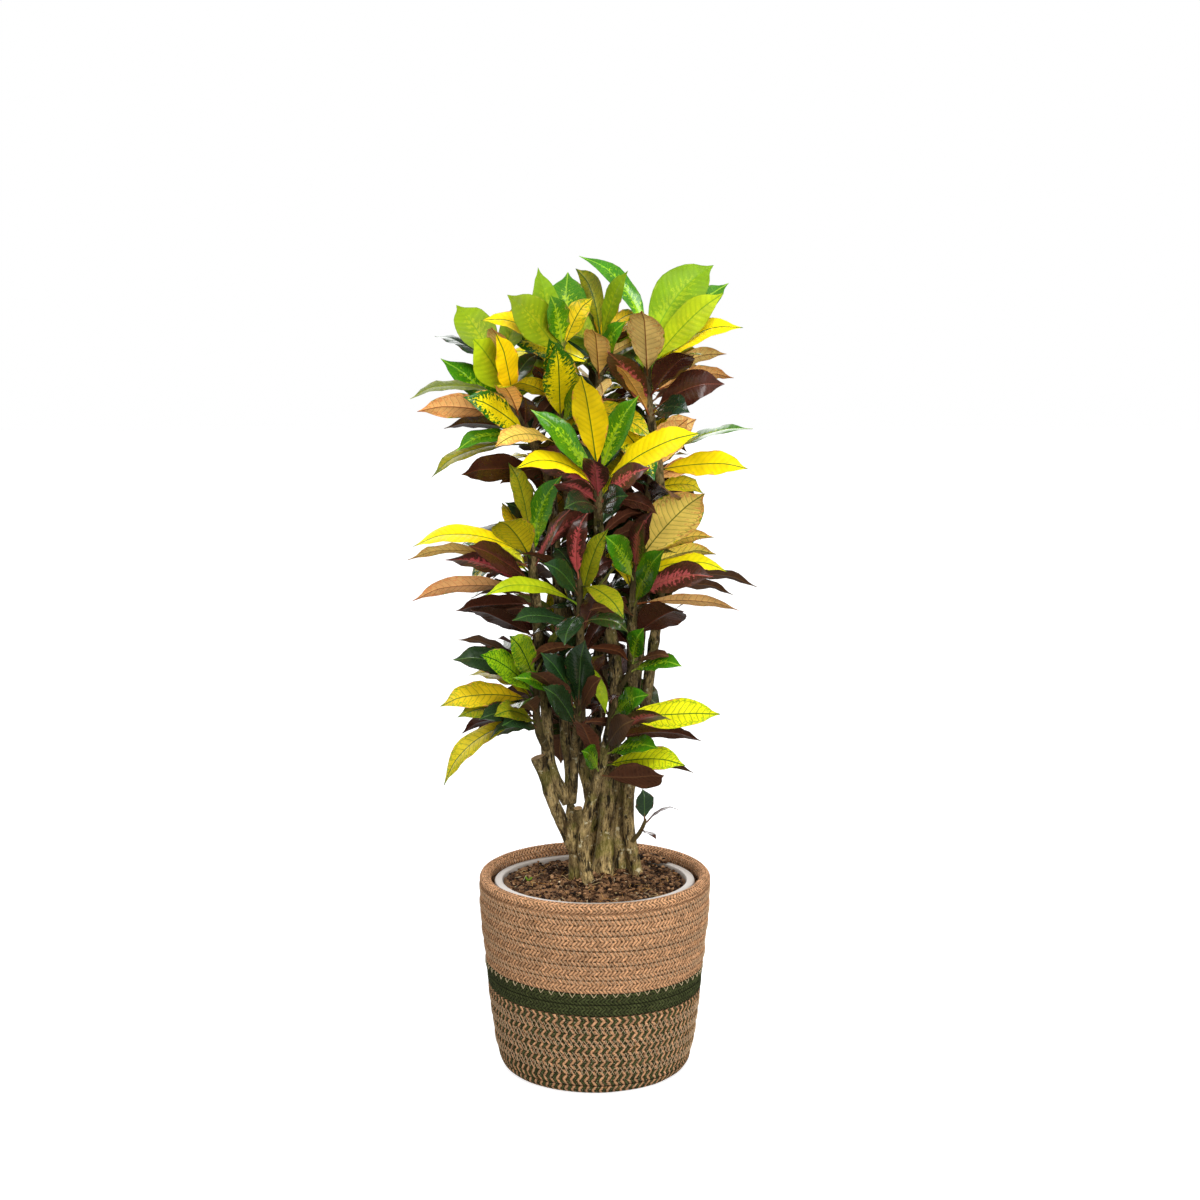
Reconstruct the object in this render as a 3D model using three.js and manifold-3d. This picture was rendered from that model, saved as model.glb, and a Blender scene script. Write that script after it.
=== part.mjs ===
// A croton house plant in a grey nursery pot, standing in a braided basket.
// Millimetres, +Z up. The origin is the middle of the basket's underside, and -Y is the front.

import * as THREE from 'three';
import { mergeVertices } from 'three/addons/utils/BufferGeometryUtils.js';
import Module from 'manifold-3d';

const wasm = await Module();
wasm.setup();

// ---------------------------------------------------------------- driving dimensions

const BASKET_SIDES = 24;
const BASKET_HEIGHT = 257;
const RIM_ROLL_RADIUS = 7.5;           // the rolled top row
const RIM_RADIUS = 142.5;              // centre line of the rolled row
const WALL_THICKNESS = 7;
const FLOOR_THICKNESS = 7;
const ROW_RELIEF = 1.6;                // how far a braid row bulges between its seams
const ROW_PITCH = 19;                  // one turn of the wound braid drops by one row
const JOINT_GAP = 0.3;                 // clear space left between touching pieces

// Outer radius of the basket at each height, from the floor to the rim.
const BASKET_OUTLINE = [[0, 116], [4, 121], [12, 125], [35, 129.5], [70, 134], [109, 138.5],
  [139, 141.5], [175, 144.5], [205, 148], [257, 149.5]];
// Heights of the seams between rows, in each colour of braid.
const TWO_TONE_SEAMS = [12, 34, 53, 71, 90, 109];
const GREEN_SEAMS = [109, 124, 139];
const NATURAL_SEAMS = [139, 157, 176, 196, 216, 237];

const POT_SIDES = 24;
const POT_RIM_RADIUS = 130;
const POT_RIM_WIDTH = 10.5;
const POT_RIM_DROP = 12;
const POT_TOP = 243;
const POT_FOOT = FLOOR_THICKNESS + JOINT_GAP;
const POT_FOOT_RADIUS = 97;
const POT_WALL = 2;
const DRAIN_HOLES = 6;
const DRAIN_RADIUS = 7;
const DRAIN_CIRCLE = 62;

const SOIL_LEVEL = 232;
const SOIL_MOUND = 9;                  // height of the heap round the stems
const HOLE_DEPTH = 80;                 // how far the stems stand in the soil
const HOLE_PLAY = 0.4;

const VIEW_POINT = [7, -2800, 1088];   // eye point from which the leaf tips below were read
const STEM_SIDES = 6;
const BLADE_THICKNESS = 0.7;
const RIB_THICKNESS = 1.3;
const BLADE_FOLD = 0.12;               // how far a blade's edges rise, as a share of its half width
const STALK_SHARE = 0.13;              // part of a leaf's length that is bare stalk
const STALK_RADIUS = 1.9;              // of a stalk where its blade starts
const STALK_SINK = 3;                  // how far a stalk starts beyond the wood's middle line
const LEAF_CLEARANCE = 1.3;
const SHORT_STATIONS = [0.44, 0.76];   // where a blade's outline bends, along the leaf
const LONG_STATIONS = [0.38, 0.62, 0.84];

// ---------------------------------------------------------------- small vector helpers

const add = (a, b) => [a[0] + b[0], a[1] + b[1], a[2] + b[2]];
const sub = (a, b) => [a[0] - b[0], a[1] - b[1], a[2] - b[2]];
const scale = (a, s) => [a[0] * s, a[1] * s, a[2] * s];
const dot = (a, b) => a[0] * b[0] + a[1] * b[1] + a[2] * b[2];
const cross = (a, b) => [a[1] * b[2] - a[2] * b[1], a[2] * b[0] - a[0] * b[2], a[0] * b[1] - a[1] * b[0]];
const unit = (a) => scale(a, 1 / Math.hypot(a[0], a[1], a[2]));
const mix = (a, b, t) => add(scale(a, 1 - t), scale(b, t));
const radians = (degrees) => degrees * Math.PI / 180;
const limited = (share) => Math.min(1, Math.max(0, share));

// Linear reading of a list of [position, value] pairs.
function readTable(table, at) {
  if (at <= table[0][0]) return table[0][1];
  for (let i = 1; i < table.length; i += 1) {
    const [x0, v0] = table[i - 1];
    const [x1, v1] = table[i];
    if (at <= x1) return v0 + (v1 - v0) * (at - x0) / (x1 - x0);
  }
  return table[table.length - 1][1];
}

// Repeatable random numbers from 0 to 1.
function makeDraw(seed) {
  let state = seed;
  return () => {
    state = (state * 16807) % 2147483647;
    return state / 2147483647;
  };
}

// ---------------------------------------------------------------- solids

function geometryOf(vertices, triangles) {
  const geometry = new THREE.BufferGeometry();
  geometry.setAttribute('position', new THREE.BufferAttribute(new Float32Array(vertices.flat()), 3));
  geometry.setIndex(triangles.flat());
  return geometry;
}

function solidOf(geometry) {
  const plain = geometry.clone();
  plain.deleteAttribute('normal');
  plain.deleteAttribute('uv');
  const merged = mergeVertices(plain, 1e-3);
  return new wasm.Manifold(new wasm.Mesh({
    numProp: 3,
    vertProperties: merged.attributes.position.array,
    triVerts: new Uint32Array(merged.index.array),
  }));
}

// The largest single body of a solid, without the crumbs that a union can leave.
function geometryFrom(solid) {
  const bodies = solid.decompose();
  bodies.sort((a, b) => b.volume() - a.volume());
  const mesh = bodies[0].getMesh();
  const geometry = new THREE.BufferGeometry();
  geometry.setAttribute('position', new THREE.BufferAttribute(new Float32Array(mesh.vertProperties), 3));
  geometry.setIndex(new THREE.BufferAttribute(new Uint32Array(mesh.triVerts), 1));
  return geometry;
}

function meshOf(name, geometry, colour, roughness) {
  const material = new THREE.MeshStandardMaterial({ color: colour, roughness, metalness: 0 });
  geometry.computeVertexNormals();
  const mesh = new THREE.Mesh(geometry, material);
  mesh.name = name;
  return mesh;
}

// ---------------------------------------------------------------- basket

// The braid winds down by one row in each turn, starting at the back of the basket.
// The drop fades out at the level rim and floor.
function rowShift(x, y, z) {
  const turn = Math.atan2(x, -y) / (2 * Math.PI);
  const belowRim = limited((BASKET_HEIGHT - 14 - z) / 40);
  const aboveFloor = limited((z - 8) / 30);
  return -ROW_PITCH * turn * belowRim * aboveFloor;
}

function wound(profile) {
  const points = profile.map(([r, z]) => new THREE.Vector2(r, z));
  const geometry = new THREE.LatheGeometry(points, BASKET_SIDES, Math.PI / BASKET_SIDES);
  geometry.rotateX(Math.PI / 2);
  const position = geometry.attributes.position;
  for (let i = 0; i < position.count; i += 1) {
    const [x, y, z] = [position.getX(i), position.getY(i), position.getZ(i)];
    position.setZ(i, z + rowShift(x, y, z));
  }
  return geometryFrom(solidOf(geometry));
}

const outerRadius = (z) => readTable(BASKET_OUTLINE, z);
const innerRadius = (z) => outerRadius(z) - WALL_THICKNESS;

// Outer points of rows that bulge between their seams, going up.
function rowPoints(seams) {
  const points = [];
  seams.forEach((z, i) => {
    points.push([outerRadius(z) - ROW_RELIEF / 2, z]);
    if (i < seams.length - 1) {
      const middle = (z + seams[i + 1]) / 2;
      points.push([outerRadius(middle) + ROW_RELIEF / 2, middle]);
    }
  });
  return points;
}

function ringProfile(seams, gapBelow) {
  const rows = rowPoints(seams);
  rows[0] = [rows[0][0], rows[0][1] + gapBelow];
  const [low, high] = [rows[0][1], rows[rows.length - 1][1]];
  return [...rows, [innerRadius(high), high], [innerRadius(low), low], rows[0]];
}

function naturalRowsProfile() {
  const profile = ringProfile(NATURAL_SEAMS, JOINT_GAP);
  const [closing, innerLow] = [profile.pop(), profile.pop()];
  profile.pop();
  const rollCentre = BASKET_HEIGHT - RIM_ROLL_RADIUS;
  for (const angle of [-35, 0, 40, 90, 140, 180, 215]) {
    profile.push([
      RIM_RADIUS + RIM_ROLL_RADIUS * Math.cos(radians(angle)),
      rollCentre + RIM_ROLL_RADIUS * Math.sin(radians(angle)),
    ]);
  }
  profile.push([innerRadius(225), 225], innerLow, closing);
  return profile;
}

function twoToneRowsProfile() {
  const rows = rowPoints(TWO_TONE_SEAMS);
  const top = TWO_TONE_SEAMS[TWO_TONE_SEAMS.length - 1];
  const inside = [[innerRadius(top), top], [innerRadius(20), 20], [innerRadius(12) - 6, FLOOR_THICKNESS]];
  return [[0, 0], [outerRadius(0), 0], [outerRadius(4), 4], ...rows, ...inside, [0, FLOOR_THICKNESS]];
}

// ---------------------------------------------------------------- nursery pot and soil

const potRadius = (z) => POT_FOOT_RADIUS
  + (POT_RIM_RADIUS - POT_RIM_WIDTH + POT_WALL - POT_FOOT_RADIUS) * (z - POT_FOOT) / (POT_TOP - POT_FOOT);

function nurseryPotGeometry() {
  const rimFoot = POT_TOP - POT_RIM_DROP;
  const underRim = POT_TOP - POT_WALL;
  const profile = [[0, POT_FOOT], [POT_FOOT_RADIUS, POT_FOOT], [potRadius(underRim), underRim],
    [POT_RIM_RADIUS - POT_WALL, underRim], [POT_RIM_RADIUS - POT_WALL, rimFoot],
    [POT_RIM_RADIUS, rimFoot], [POT_RIM_RADIUS, POT_TOP], [potRadius(POT_TOP) - POT_WALL, POT_TOP],
    [POT_FOOT_RADIUS - POT_WALL, POT_FOOT + POT_WALL], [0, POT_FOOT + POT_WALL]];
  const shell = new THREE.LatheGeometry(profile.map(([r, z]) => new THREE.Vector2(r, z)), POT_SIDES);
  shell.rotateX(Math.PI / 2);
  let pot = solidOf(shell);
  for (let i = 0; i < DRAIN_HOLES; i += 1) {
    const angle = 2 * Math.PI * i / DRAIN_HOLES;
    const hole = new THREE.CylinderGeometry(DRAIN_RADIUS, DRAIN_RADIUS, 6 * POT_WALL, 8);
    hole.rotateX(Math.PI / 2);
    hole.translate(DRAIN_CIRCLE * Math.cos(angle), DRAIN_CIRCLE * Math.sin(angle), POT_FOOT);
    pot = pot.subtract(solidOf(hole));
  }
  return geometryFrom(pot);
}

// Soil surface: a low heap round the stems, crumbly all over.
function soilHeight(x, y) {
  const heap = SOIL_MOUND * Math.exp(-((x - 10) ** 2 + (y - 18) ** 2) / (2 * 38 ** 2));
  const crumbsAcross = 1.6 * Math.sin(x * 0.21 + 1.3 * Math.sin(y * 0.13));
  const crumbsDeep = 1.4 * Math.sin(y * 0.24 + 1.1 * Math.sin(x * 0.17));
  return SOIL_LEVEL + heap + crumbsAcross + crumbsDeep;
}

function soilGeometry(stems) {
  const foot = POT_FOOT + POT_WALL + JOINT_GAP;
  const edge = (z) => potRadius(z) - POT_WALL - 2 * JOINT_GAP;
  const rings = [0, 0.25, 0.5, 0.75, 1];
  const profile = [[0, foot], [edge(foot), foot], [edge(SOIL_LEVEL), SOIL_LEVEL]];
  for (const share of rings.slice(0, -1).reverse()) {
    profile.push([edge(SOIL_LEVEL) * share, SOIL_LEVEL]);
  }
  const geometry = new THREE.LatheGeometry(profile.map(([r, z]) => new THREE.Vector2(r, z)), POT_SIDES);
  geometry.rotateX(Math.PI / 2);
  const position = geometry.attributes.position;
  for (let i = 0; i < position.count; i += 1) {
    if (position.getZ(i) > SOIL_LEVEL - 1) {
      position.setZ(i, soilHeight(position.getX(i), position.getY(i)));
    }
  }
  let soil = solidOf(geometry);
  for (const stem of stems) {
    const [x, y, , radius] = stem.wood[0][0];
    const low = [x, y, SOIL_LEVEL - HOLE_DEPTH - JOINT_GAP, radius];
    const high = [x, y, SOIL_LEVEL + 60, radius];
    soil = soil.subtract(solidOf(tube([low, high], HOLE_PLAY)));
  }
  return geometryFrom(soil);
}

// ---------------------------------------------------------------- stems

// A many-sided tube through points of [x, y, z, radius], with flat ends.
function tube(path, extra = 0) {
  const vertices = [];
  const triangles = [];
  path.forEach(([x, y, z, radius], i) => {
    const before = path[Math.max(0, i - 1)];
    const after = path[Math.min(path.length - 1, i + 1)];
    const along = unit(sub(after, before));
    const right = unit(cross([0, 1, 0], along));
    const front = cross(along, right);
    for (let k = 0; k < STEM_SIDES; k += 1) {
      const angle = 2 * Math.PI * k / STEM_SIDES;
      const reach = radius + extra / Math.cos(Math.PI / STEM_SIDES);
      const offset = add(scale(right, reach * Math.cos(angle)), scale(front, reach * Math.sin(angle)));
      vertices.push(add([x, y, z], offset));
    }
  });
  const ring = (i, k) => i * STEM_SIDES + (k % STEM_SIDES);
  for (let i = 0; i < path.length - 1; i += 1) {
    for (let k = 0; k < STEM_SIDES; k += 1) {
      triangles.push([ring(i, k), ring(i, k + 1), ring(i + 1, k + 1)]);
      triangles.push([ring(i, k), ring(i + 1, k + 1), ring(i + 1, k)]);
    }
  }
  const top = path.length - 1;
  for (let k = 1; k < STEM_SIDES - 1; k += 1) {
    triangles.push([0, k + 1, k], [ring(top, 0), ring(top, k), ring(top, k + 1)]);
  }
  return geometryOf(vertices, triangles);
}

// Point and direction on a shoot's axis at a height.
function axisAt(path, z) {
  let i = 1;
  while (i < path.length - 1 && path[i][2] < z) i += 1;
  const [low, high] = [path[i - 1], path[i]];
  const t = Math.min(1, Math.max(0, (z - low[2]) / (high[2] - low[2])));
  return mix(low, high, t);
}

// Each stem has its wood, as paths of [x, y, z, radius], and its shoots. A shoot names the path
// that it grows on, the leaves that give the plant its outline, and how many more fill it.
// A leaf is [tip x, tip z, tip depth, height of its foot, width, how its face is turned, arch].
// Tip x and z are as seen from the view point on the plant's middle plane. A face turned 0 degrees
// shows its whole upper side to the view point, 90 its edge, and 180 its whole underside.
const inSoil = (x, y, radius) => [[x, y, SOIL_LEVEL - HOLE_DEPTH, radius], [x, y, SOIL_LEVEL + 14, radius]];

const STEMS = [
  {
    name: 'stem_left',
    wood: [
      [...inSoil(-21, 6, 12), [-24, 4, 296, 11], [-30, 2, 337, 10.5], [-34, 0, 356, 10]],
      [[-34, 0, 350, 9], [-51, -4, 380, 8.5], [-60, -4, 412, 8], [-62, -2, 470, 7.5], [-70, -15, 565, 7],
        [-76, -30, 640, 6.5], [-82, -38, 706, 5]],
      [[-33, 1, 352, 7], [-32, 2, 390, 6.5], [-37, 3, 431, 6.5], [-42, 4, 520, 6.5], [-48, 3, 653, 6.5],
        [-57, 0, 769, 6], [-85, -5, 830, 5.5], [-110, -6, 875, 5], [-120, -6, 915, 4]],
      [[-30, -2, 350, 6.5], [-27, -9, 377, 6], [-26, -15, 418, 6], [-22, -34, 455, 5.5],
        [-19, -42, 500, 5.5], [-18, -46, 560, 5.5], [-18, -58, 610, 5], [-18, -62, 655, 4]],
      [[-26, 0, 285, 8.5], [-37, -6, 312, 8.5], [-55, -12, 357, 8], [-63, -14, 384, 8], [-73, -16, 413, 8]],
      [[-60, -5, 418, 5.5], [-72, -30, 455, 5], [-74, -38, 500, 4.5], [-75, -40, 532, 4]],
    ],
    shoots: [
      {
        path: 2, from: 785, to: 915, fill: 8, leaves: [
          [-172, 990, 40, 905, 50, 20, 4],
          [-125, 965, -35, 882, 38, 140, 6],
          [-199, 953, 30, 912, 30, 60, 6],
          [-190, 925, 5, 835, 48, 45, 0],
          [-149, 944, -66, 868, 56, 20, 6],
          [-118, 949, -68, 856, 38, 40, 4],
          [-233, 877, 10, 872, 34, 70, 12],
          [-224, 858, -40, 840, 42, 140, 10],
          [-190, 837, -25, 826, 36, 115, 8],
          [-158, 874, -95, 822, 40, 35, 6],
          [-209, 777, -60, 812, 36, 65, 14],
          [-169, 780, -25, 786, 50, 135, 0],
          [-175, 810, -70, 820, 34, 60, 10],
          [-120, 892, -85, 846, 32, 140, 8],
          [-88, 880, -50, 832, 38, 140, 6],
        ],
      },
      {
        path: 1, from: 600, to: 706, fill: 8, leaves: [
          [-105, 791, -40, 702, 36, 45, 4],
          [-45, 773, -66, 660, 38, 42, 14],
          [-122, 719, -85, 668, 50, 155, 8],
          [-232, 688, -50, 672, 42, 58, 20],
          [-239, 672, -22, 660, 38, 110, 14],
          [-157, 686, -112, 640, 38, 45, 4],
          [-191, 670, -85, 636, 40, 125, 8],
          [-234, 620, -40, 628, 46, 118, 12],
          [-35, 734, -95, 656, 26, 62, 2],
          [-178, 604, -60, 614, 40, 125, 2],
          [-158, 607, -50, 566, 40, 125, 2],
          [-116, 742, -20, 664, 36, 45, 6],
        ],
      },
      {
        path: 5, from: 448, to: 532, fill: 8, leaves: [
          [-173, 568, -20, 528, 30, 112, 8],
          [-181, 541, -60, 518, 44, 42, 8],
          [-105, 566, -95, 508, 40, 35, 8],
          [-144, 544, -100, 494, 40, 38, 8],
          [-200, 480, -50, 490, 44, 42, 10],
          [-177, 464, -76, 478, 40, 48, 8],
          [-198, 371, -50, 464, 38, 50, 24],
          [-125, 468, -112, 458, 34, 55, 8],
          [-114, 456, -122, 452, 38, 55, 6],
          [-172, 447, 10, 470, 32, 115, 6],
          [-157, 441, -25, 456, 32, 115, 6],
          [-140, 436, -62, 452, 36, 120, 8],
          [-168, 490, -20, 478, 36, 60, 6],
          [-146, 464, -96, 462, 38, 50, 6],
          [-100, 480, -112, 470, 38, 140, 8],
        ],
      },
      {
        path: 3, from: 445, to: 655, fill: 16, leaves: [
          [14, 706, -100, 606, 34, 45, 8],
          [-139, 626, -118, 616, 28, 50, 16],
          [-59, 662, -118, 626, 34, 40, 6],
          [17, 467, -78, 556, 22, 45, 4],
          [-16, 556, -104, 478, 42, 25, 6],
          [6, 513, -115, 468, 28, 50, 6],
          [-103, 515, -112, 478, 28, 50, 10],
          [-83, 526, -118, 462, 38, 140, 8],
          [37, 595, -134, 642, 29, 35, 10],
          [-103, 593, -122, 590, 34, 55, 6],
          [-40, 560, -128, 606, 36, 40, 6],
          [-66, 546, -80, 476, 38, 35, 6],
          [10, 549, -85, 496, 36, 140, 6],
          [-60, 500, -100, 452, 36, 35, 6],
          [20, 640, -84, 570, 34, 140, 6],
        ],
      },
    ],
  },
  {
    name: 'stem_front',
    wood: [
      [...inSoil(-10, -17, 8), [-15, -17, 290, 8], [-12, -18, 322, 7.5], [-6, -20, 350, 7.5],
        [3, -24, 382, 7], [12, -31, 420, 6.5], [20, -36, 460, 5.5], [24, -40, 492, 4.5]],
      [[-14, -16, 318, 5.5], [-20, -22, 336, 5], [-21, -25, 348, 5]],
    ],
    shoots: [
      {
        path: 0, from: 388, to: 490, fill: 10, leaves: [
          [161, 468, -88, 470, 46, 35, 0],
          [101, 466, -115, 450, 34, 125, 6],
          [62, 491, -108, 466, 34, 35, 6],
          [139, 433, -60, 436, 40, 120, 12],
          [46, 457, -124, 424, 36, 35, 6],
          [116, 401, -92, 402, 42, 42, 8],
          [92, 388, -112, 392, 46, 135, -4],
          [129, 393, -32, 408, 32, 115, 6],
          [-13, 416, -102, 394, 30, 40, 6],
          [-22, 464, -92, 398, 30, 140, 4],
          [80, 424, -102, 418, 36, 55, 6],
        ],
      },
    ],
  },
  {
    name: 'stem_centre',
    wood: [
      [...inSoil(11, 14, 14.5), [14, 12, 296, 11.5], [16, 10, 337, 10], [17, 8, 377, 9.5], [24, 4, 440, 9],
        [27, 0, 491, 8.5], [26, -2, 541, 8.5], [15, 0, 597, 8], [9, 3, 645, 8]],
      [[9, 3, 636, 7], [6, -30, 680, 6.5], [5, -58, 725, 6], [5, -70, 782, 4.5]],
      [[9, 4, 636, 7], [6, 10, 727, 7], [4, 10, 800, 6], [6, 5, 880, 5.5], [8, 0, 948, 4]],
      [[7, 8, 700, 5.5], [14, 3, 716, 5.5], [20, 0, 730, 6]],
      [[28, -2, 494, 4.5], [34, -10, 506, 4], [44, -20, 524, 3.5], [50, -26, 540, 3]],
    ],
    shoots: [
      {
        path: 2, from: 850, to: 948, fill: 14, leaves: [
          [-18, 1030, 60, 940, 34, 140, 16],
          [38, 1029, -50, 930, 30, 45, 6],
          [0, 963, -86, 890, 38, 150, 6],
          [32, 966, -62, 902, 30, 50, 6],
          [12, 868, -112, 888, 30, 150, 8],
          [22, 1000, 22, 936, 34, 30, 4],
        ],
      },
      {
        path: 1, from: 720, to: 782, fill: 4, leaves: [
          [-16, 903, -102, 780, 46, 155, 4],
          [52, 874, -112, 775, 38, 35, 6],
          [131, 829, -122, 766, 44, 37, 10],
          [-75, 859, -108, 766, 38, 42, 6],
          [-100, 787, -110, 760, 40, 60, 20],
          [-52, 768, -148, 746, 36, 130, 4],
          [-35, 734, -160, 738, 36, 40, 8],
          [37, 748, -152, 728, 36, 40, 8],
          [-2, 802, -124, 738, 36, 150, 4],
          [65, 785, -122, 742, 34, 40, 6],
        ],
      },
      {
        path: 4, from: 515, to: 540, fill: 1, leaves: [
          [57, 573, -84, 536, 30, 35, 4],
          [96, 544, -66, 530, 20, 60, 4],
          [109, 533, -84, 524, 30, 50, 6],
        ],
      },
    ],
  },
  {
    name: 'stem_right',
    wood: [
      [...inSoil(36, 36, 9.5), [34, 32, 296, 9], [33, 29, 329, 9], [39, 26, 350, 8.5], [44, 22, 373, 8.5],
        [50, 16, 430, 8], [50, 8, 490, 8]],
      [[50, 9, 482, 7], [48, -4, 550, 6.5], [48, -18, 600, 6], [52, -32, 668, 4.5]],
      [[50, 9, 480, 7], [58, 14, 550, 6.5], [62, 20, 620, 6], [66, 22, 700, 5.5], [70, 20, 750, 5.5],
        [76, 18, 797, 4]],
      [[33, 30, 318, 6.5], [30, 35, 355, 6.5], [29, 37, 420, 6], [30, 38, 480, 4.5]],
    ],
    shoots: [
      {
        path: 2, from: 735, to: 797, fill: 8, leaves: [
          [116, 848, -32, 770, 48, 150, 6],
          [124, 845, 62, 786, 46, 150, 6],
          [199, 836, 12, 790, 32, 70, 10],
          [193, 786, -20, 776, 44, 45, 6],
          [136, 786, -48, 760, 34, 50, 8],
          [140, 757, -32, 750, 36, 55, 8],
          [103, 753, -96, 736, 42, 145, 6],
        ],
      },
      {
        path: 1, from: 585, to: 668, fill: 6, leaves: [
          [140, 754, -88, 664, 64, 160, 6],
          [58, 714, -96, 652, 34, 50, 4],
          [68, 727, -50, 664, 30, 45, 4],
          [18, 695, -110, 640, 38, 35, 6],
          [83, 677, -116, 604, 38, 42, 6],
          [170, 655, -42, 646, 38, 60, 14],
          [208, 638, 10, 638, 30, 115, 12],
          [178, 627, -30, 628, 34, 115, 10],
          [147, 648, -90, 622, 44, 40, 8],
          [116, 606, -112, 566, 52, 145, 6],
          [154, 680, 30, 654, 36, 120, 8],
          [150, 700, 40, 668, 34, 120, 8],
          [185, 604, -60, 612, 30, 120, 8],
        ],
      },
    ],
  },
  {
    name: 'stem_far_right',
    wood: [
      [...inSoil(55, 16, 8), [48, 14, 283, 8], [44, 10, 322, 7.5], [44, 4, 357, 7.5], [50, -2, 400, 7.5],
        [62, -10, 460, 7], [70, -14, 520, 7], [78, -8, 580, 6.5], [86, 0, 650, 6.5], [86, 4, 720, 6],
        [80, -2, 790, 6], [70, -6, 850, 5.5], [66, -6, 900, 5], [68, -6, 932, 4]],
      [[46, 12, 292, 3.5], [55, 2, 303, 3], [62, -8, 318, 2.5], [66, -12, 330, 2.5]],
    ],
    shoots: [
      {
        path: 0, from: 840, to: 932, fill: 8, leaves: [
          [148, 1039, 20, 926, 64, 20, 14],
          [-17, 1053, 10, 930, 36, 50, 20],
          [167, 1018, 52, 915, 42, 30, 6],
          [159, 1003, -22, 906, 44, 30, 6],
          [184, 964, -50, 886, 40, 55, 22],
          [164, 930, 22, 890, 36, 120, 8],
          [175, 903, -20, 876, 38, 125, 8],
          [61, 986, -76, 893, 49, 160, 6],
          [125, 931, -76, 870, 46, 140, 8],
          [159, 891, -62, 852, 46, 30, 10],
          [28, 916, -96, 846, 30, 120, 4],
          [115, 857, -92, 848, 36, 45, 8],
          [17, 934, -70, 850, 42, 145, 4],
        ],
      },
      {
        path: 1, from: 312, to: 330, fill: 0, leaves: [
          [64, 366, -14, 326, 28, 30, 0],
          [109, 344, -16, 318, 8, 60, 8],
          [80, 304, -20, 314, 10, 60, 0],
        ],
      },
    ],
  },
  {
    name: 'stem_back_left',
    wood: [
      [...inSoil(-3, 42, 8.5), [-3, 37, 310, 8], [-6, 35, 350, 8], [-17, 34, 400, 7.5], [-20, 31, 520, 7.5],
        [-20, 26, 600, 7], [-22, 20, 667, 6.5], [-32, 16, 732, 6], [-42, -4, 820, 5.5], [-44, -16, 880, 5],
        [-38, -18, 938, 4]],
      [[-18, 28, 552, 6], [-45, 50, 620, 5.5], [-62, 68, 690, 5], [-66, 74, 735, 4]],
      [[-17, 34, 415, 6], [-34, 56, 465, 5.5], [-44, 66, 510, 5], [-48, 70, 548, 4]],
    ],
    shoots: [
      {
        path: 0, from: 826, to: 938, fill: 14, leaves: [
          [-66, 1034, 22, 932, 42, 40, -10],
          [-104, 999, -70, 922, 52, 22, 4],
          [-34, 1030, 42, 934, 56, 15, -4],
          [-52, 998, -62, 930, 36, 35, 4],
          [-141, 971, -42, 914, 42, 60, 18],
          [-6, 998, -32, 926, 36, 40, 4],
          [-53, 941, -82, 862, 38, 30, 6],
          [-46, 935, -98, 836, 46, 25, 6],
          [-12, 889, -92, 834, 30, 40, 4],
          [-109, 892, -72, 858, 36, 130, 8],
          [-75, 915, -50, 850, 36, 140, 6],
          [-126, 812, -72, 808, 38, 60, 16],
        ],
      },
      { path: 1, from: 640, to: 735, fill: 26, leaves: [] },
      {
        path: 2, from: 460, to: 548, fill: 20, leaves: [
          [-46, 398, 55, 476, 40, 20, 4],
        ],
      },
    ],
  },
  {
    name: 'stem_back_right',
    wood: [
      [...inSoil(20, 58, 8.5), [13, 56, 310, 8], [1, 58, 375, 7.5], [2, 60, 440, 7.5], [6, 64, 560, 7],
        [0, 72, 660, 6.5], [-6, 78, 760, 6], [-4, 80, 860, 5.5], [-2, 82, 930, 4]],
      [[2, 59, 420, 6], [10, 80, 455, 5.5], [12, 92, 510, 5], [12, 96, 545, 4]],
      [[6, 66, 575, 6], [34, 80, 640, 5.5], [56, 88, 700, 5], [62, 92, 745, 4]],
      [[-4, 77, 740, 6], [30, 72, 800, 5.5], [46, 66, 860, 5], [50, 66, 895, 4]],
    ],
    shoots: [
      { path: 0, from: 830, to: 930, fill: 24, leaves: [] },
      { path: 1, from: 455, to: 545, fill: 24, leaves: [] },
      { path: 2, from: 650, to: 745, fill: 24, leaves: [] },
      { path: 3, from: 800, to: 895, fill: 20, leaves: [] },
    ],
  },
];

// ---------------------------------------------------------------- where each leaf goes

// A leaf's place: its foot on the wood, compass turn, rise, length, width, face turn and arch.
function leafFromTip(path, [tipX, tipZ, depth, footZ, width, turned, arch]) {
  const seen = [tipX, 0, tipZ];
  const tip = add(VIEW_POINT, scale(sub(seen, VIEW_POINT), 1 + depth / -VIEW_POINT[1]));
  const foot = axisAt(path, footZ).slice(0, 3);
  const reach = sub(tip, foot);
  const length = Math.hypot(...reach);
  const leaf = {
    foot,
    azimuth: Math.atan2(reach[1], reach[0]),
    rise: Math.asin(reach[2] / length),
    length,
    width,
    face: 0,
    arch,
  };
  leaf.face = faceTowards(leaf, radians(turned));
  return leaf;
}

// The roll that turns a leaf's upper side away from the view point by an angle.
function faceTowards(leaf, turned) {
  const { point, normal, side } = leafFrame(leaf, 0.5);
  const along = unit(cross(normal, side));
  const sight = unit(sub(VIEW_POINT, point));
  const open = unit(sub(sight, scale(along, dot(sight, along))));
  let edgeOn = cross(along, open);
  if (dot(edgeOn, normal) < 0) edgeOn = scale(edgeOn, -1);
  const wanted = add(scale(open, Math.cos(turned)), scale(edgeOn, Math.sin(turned)));
  return Math.atan2(dot(wanted, side), dot(wanted, normal));
}

const GOLDEN_TURN = radians(137.508);
const FILL_SPREAD = radians(105);

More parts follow.
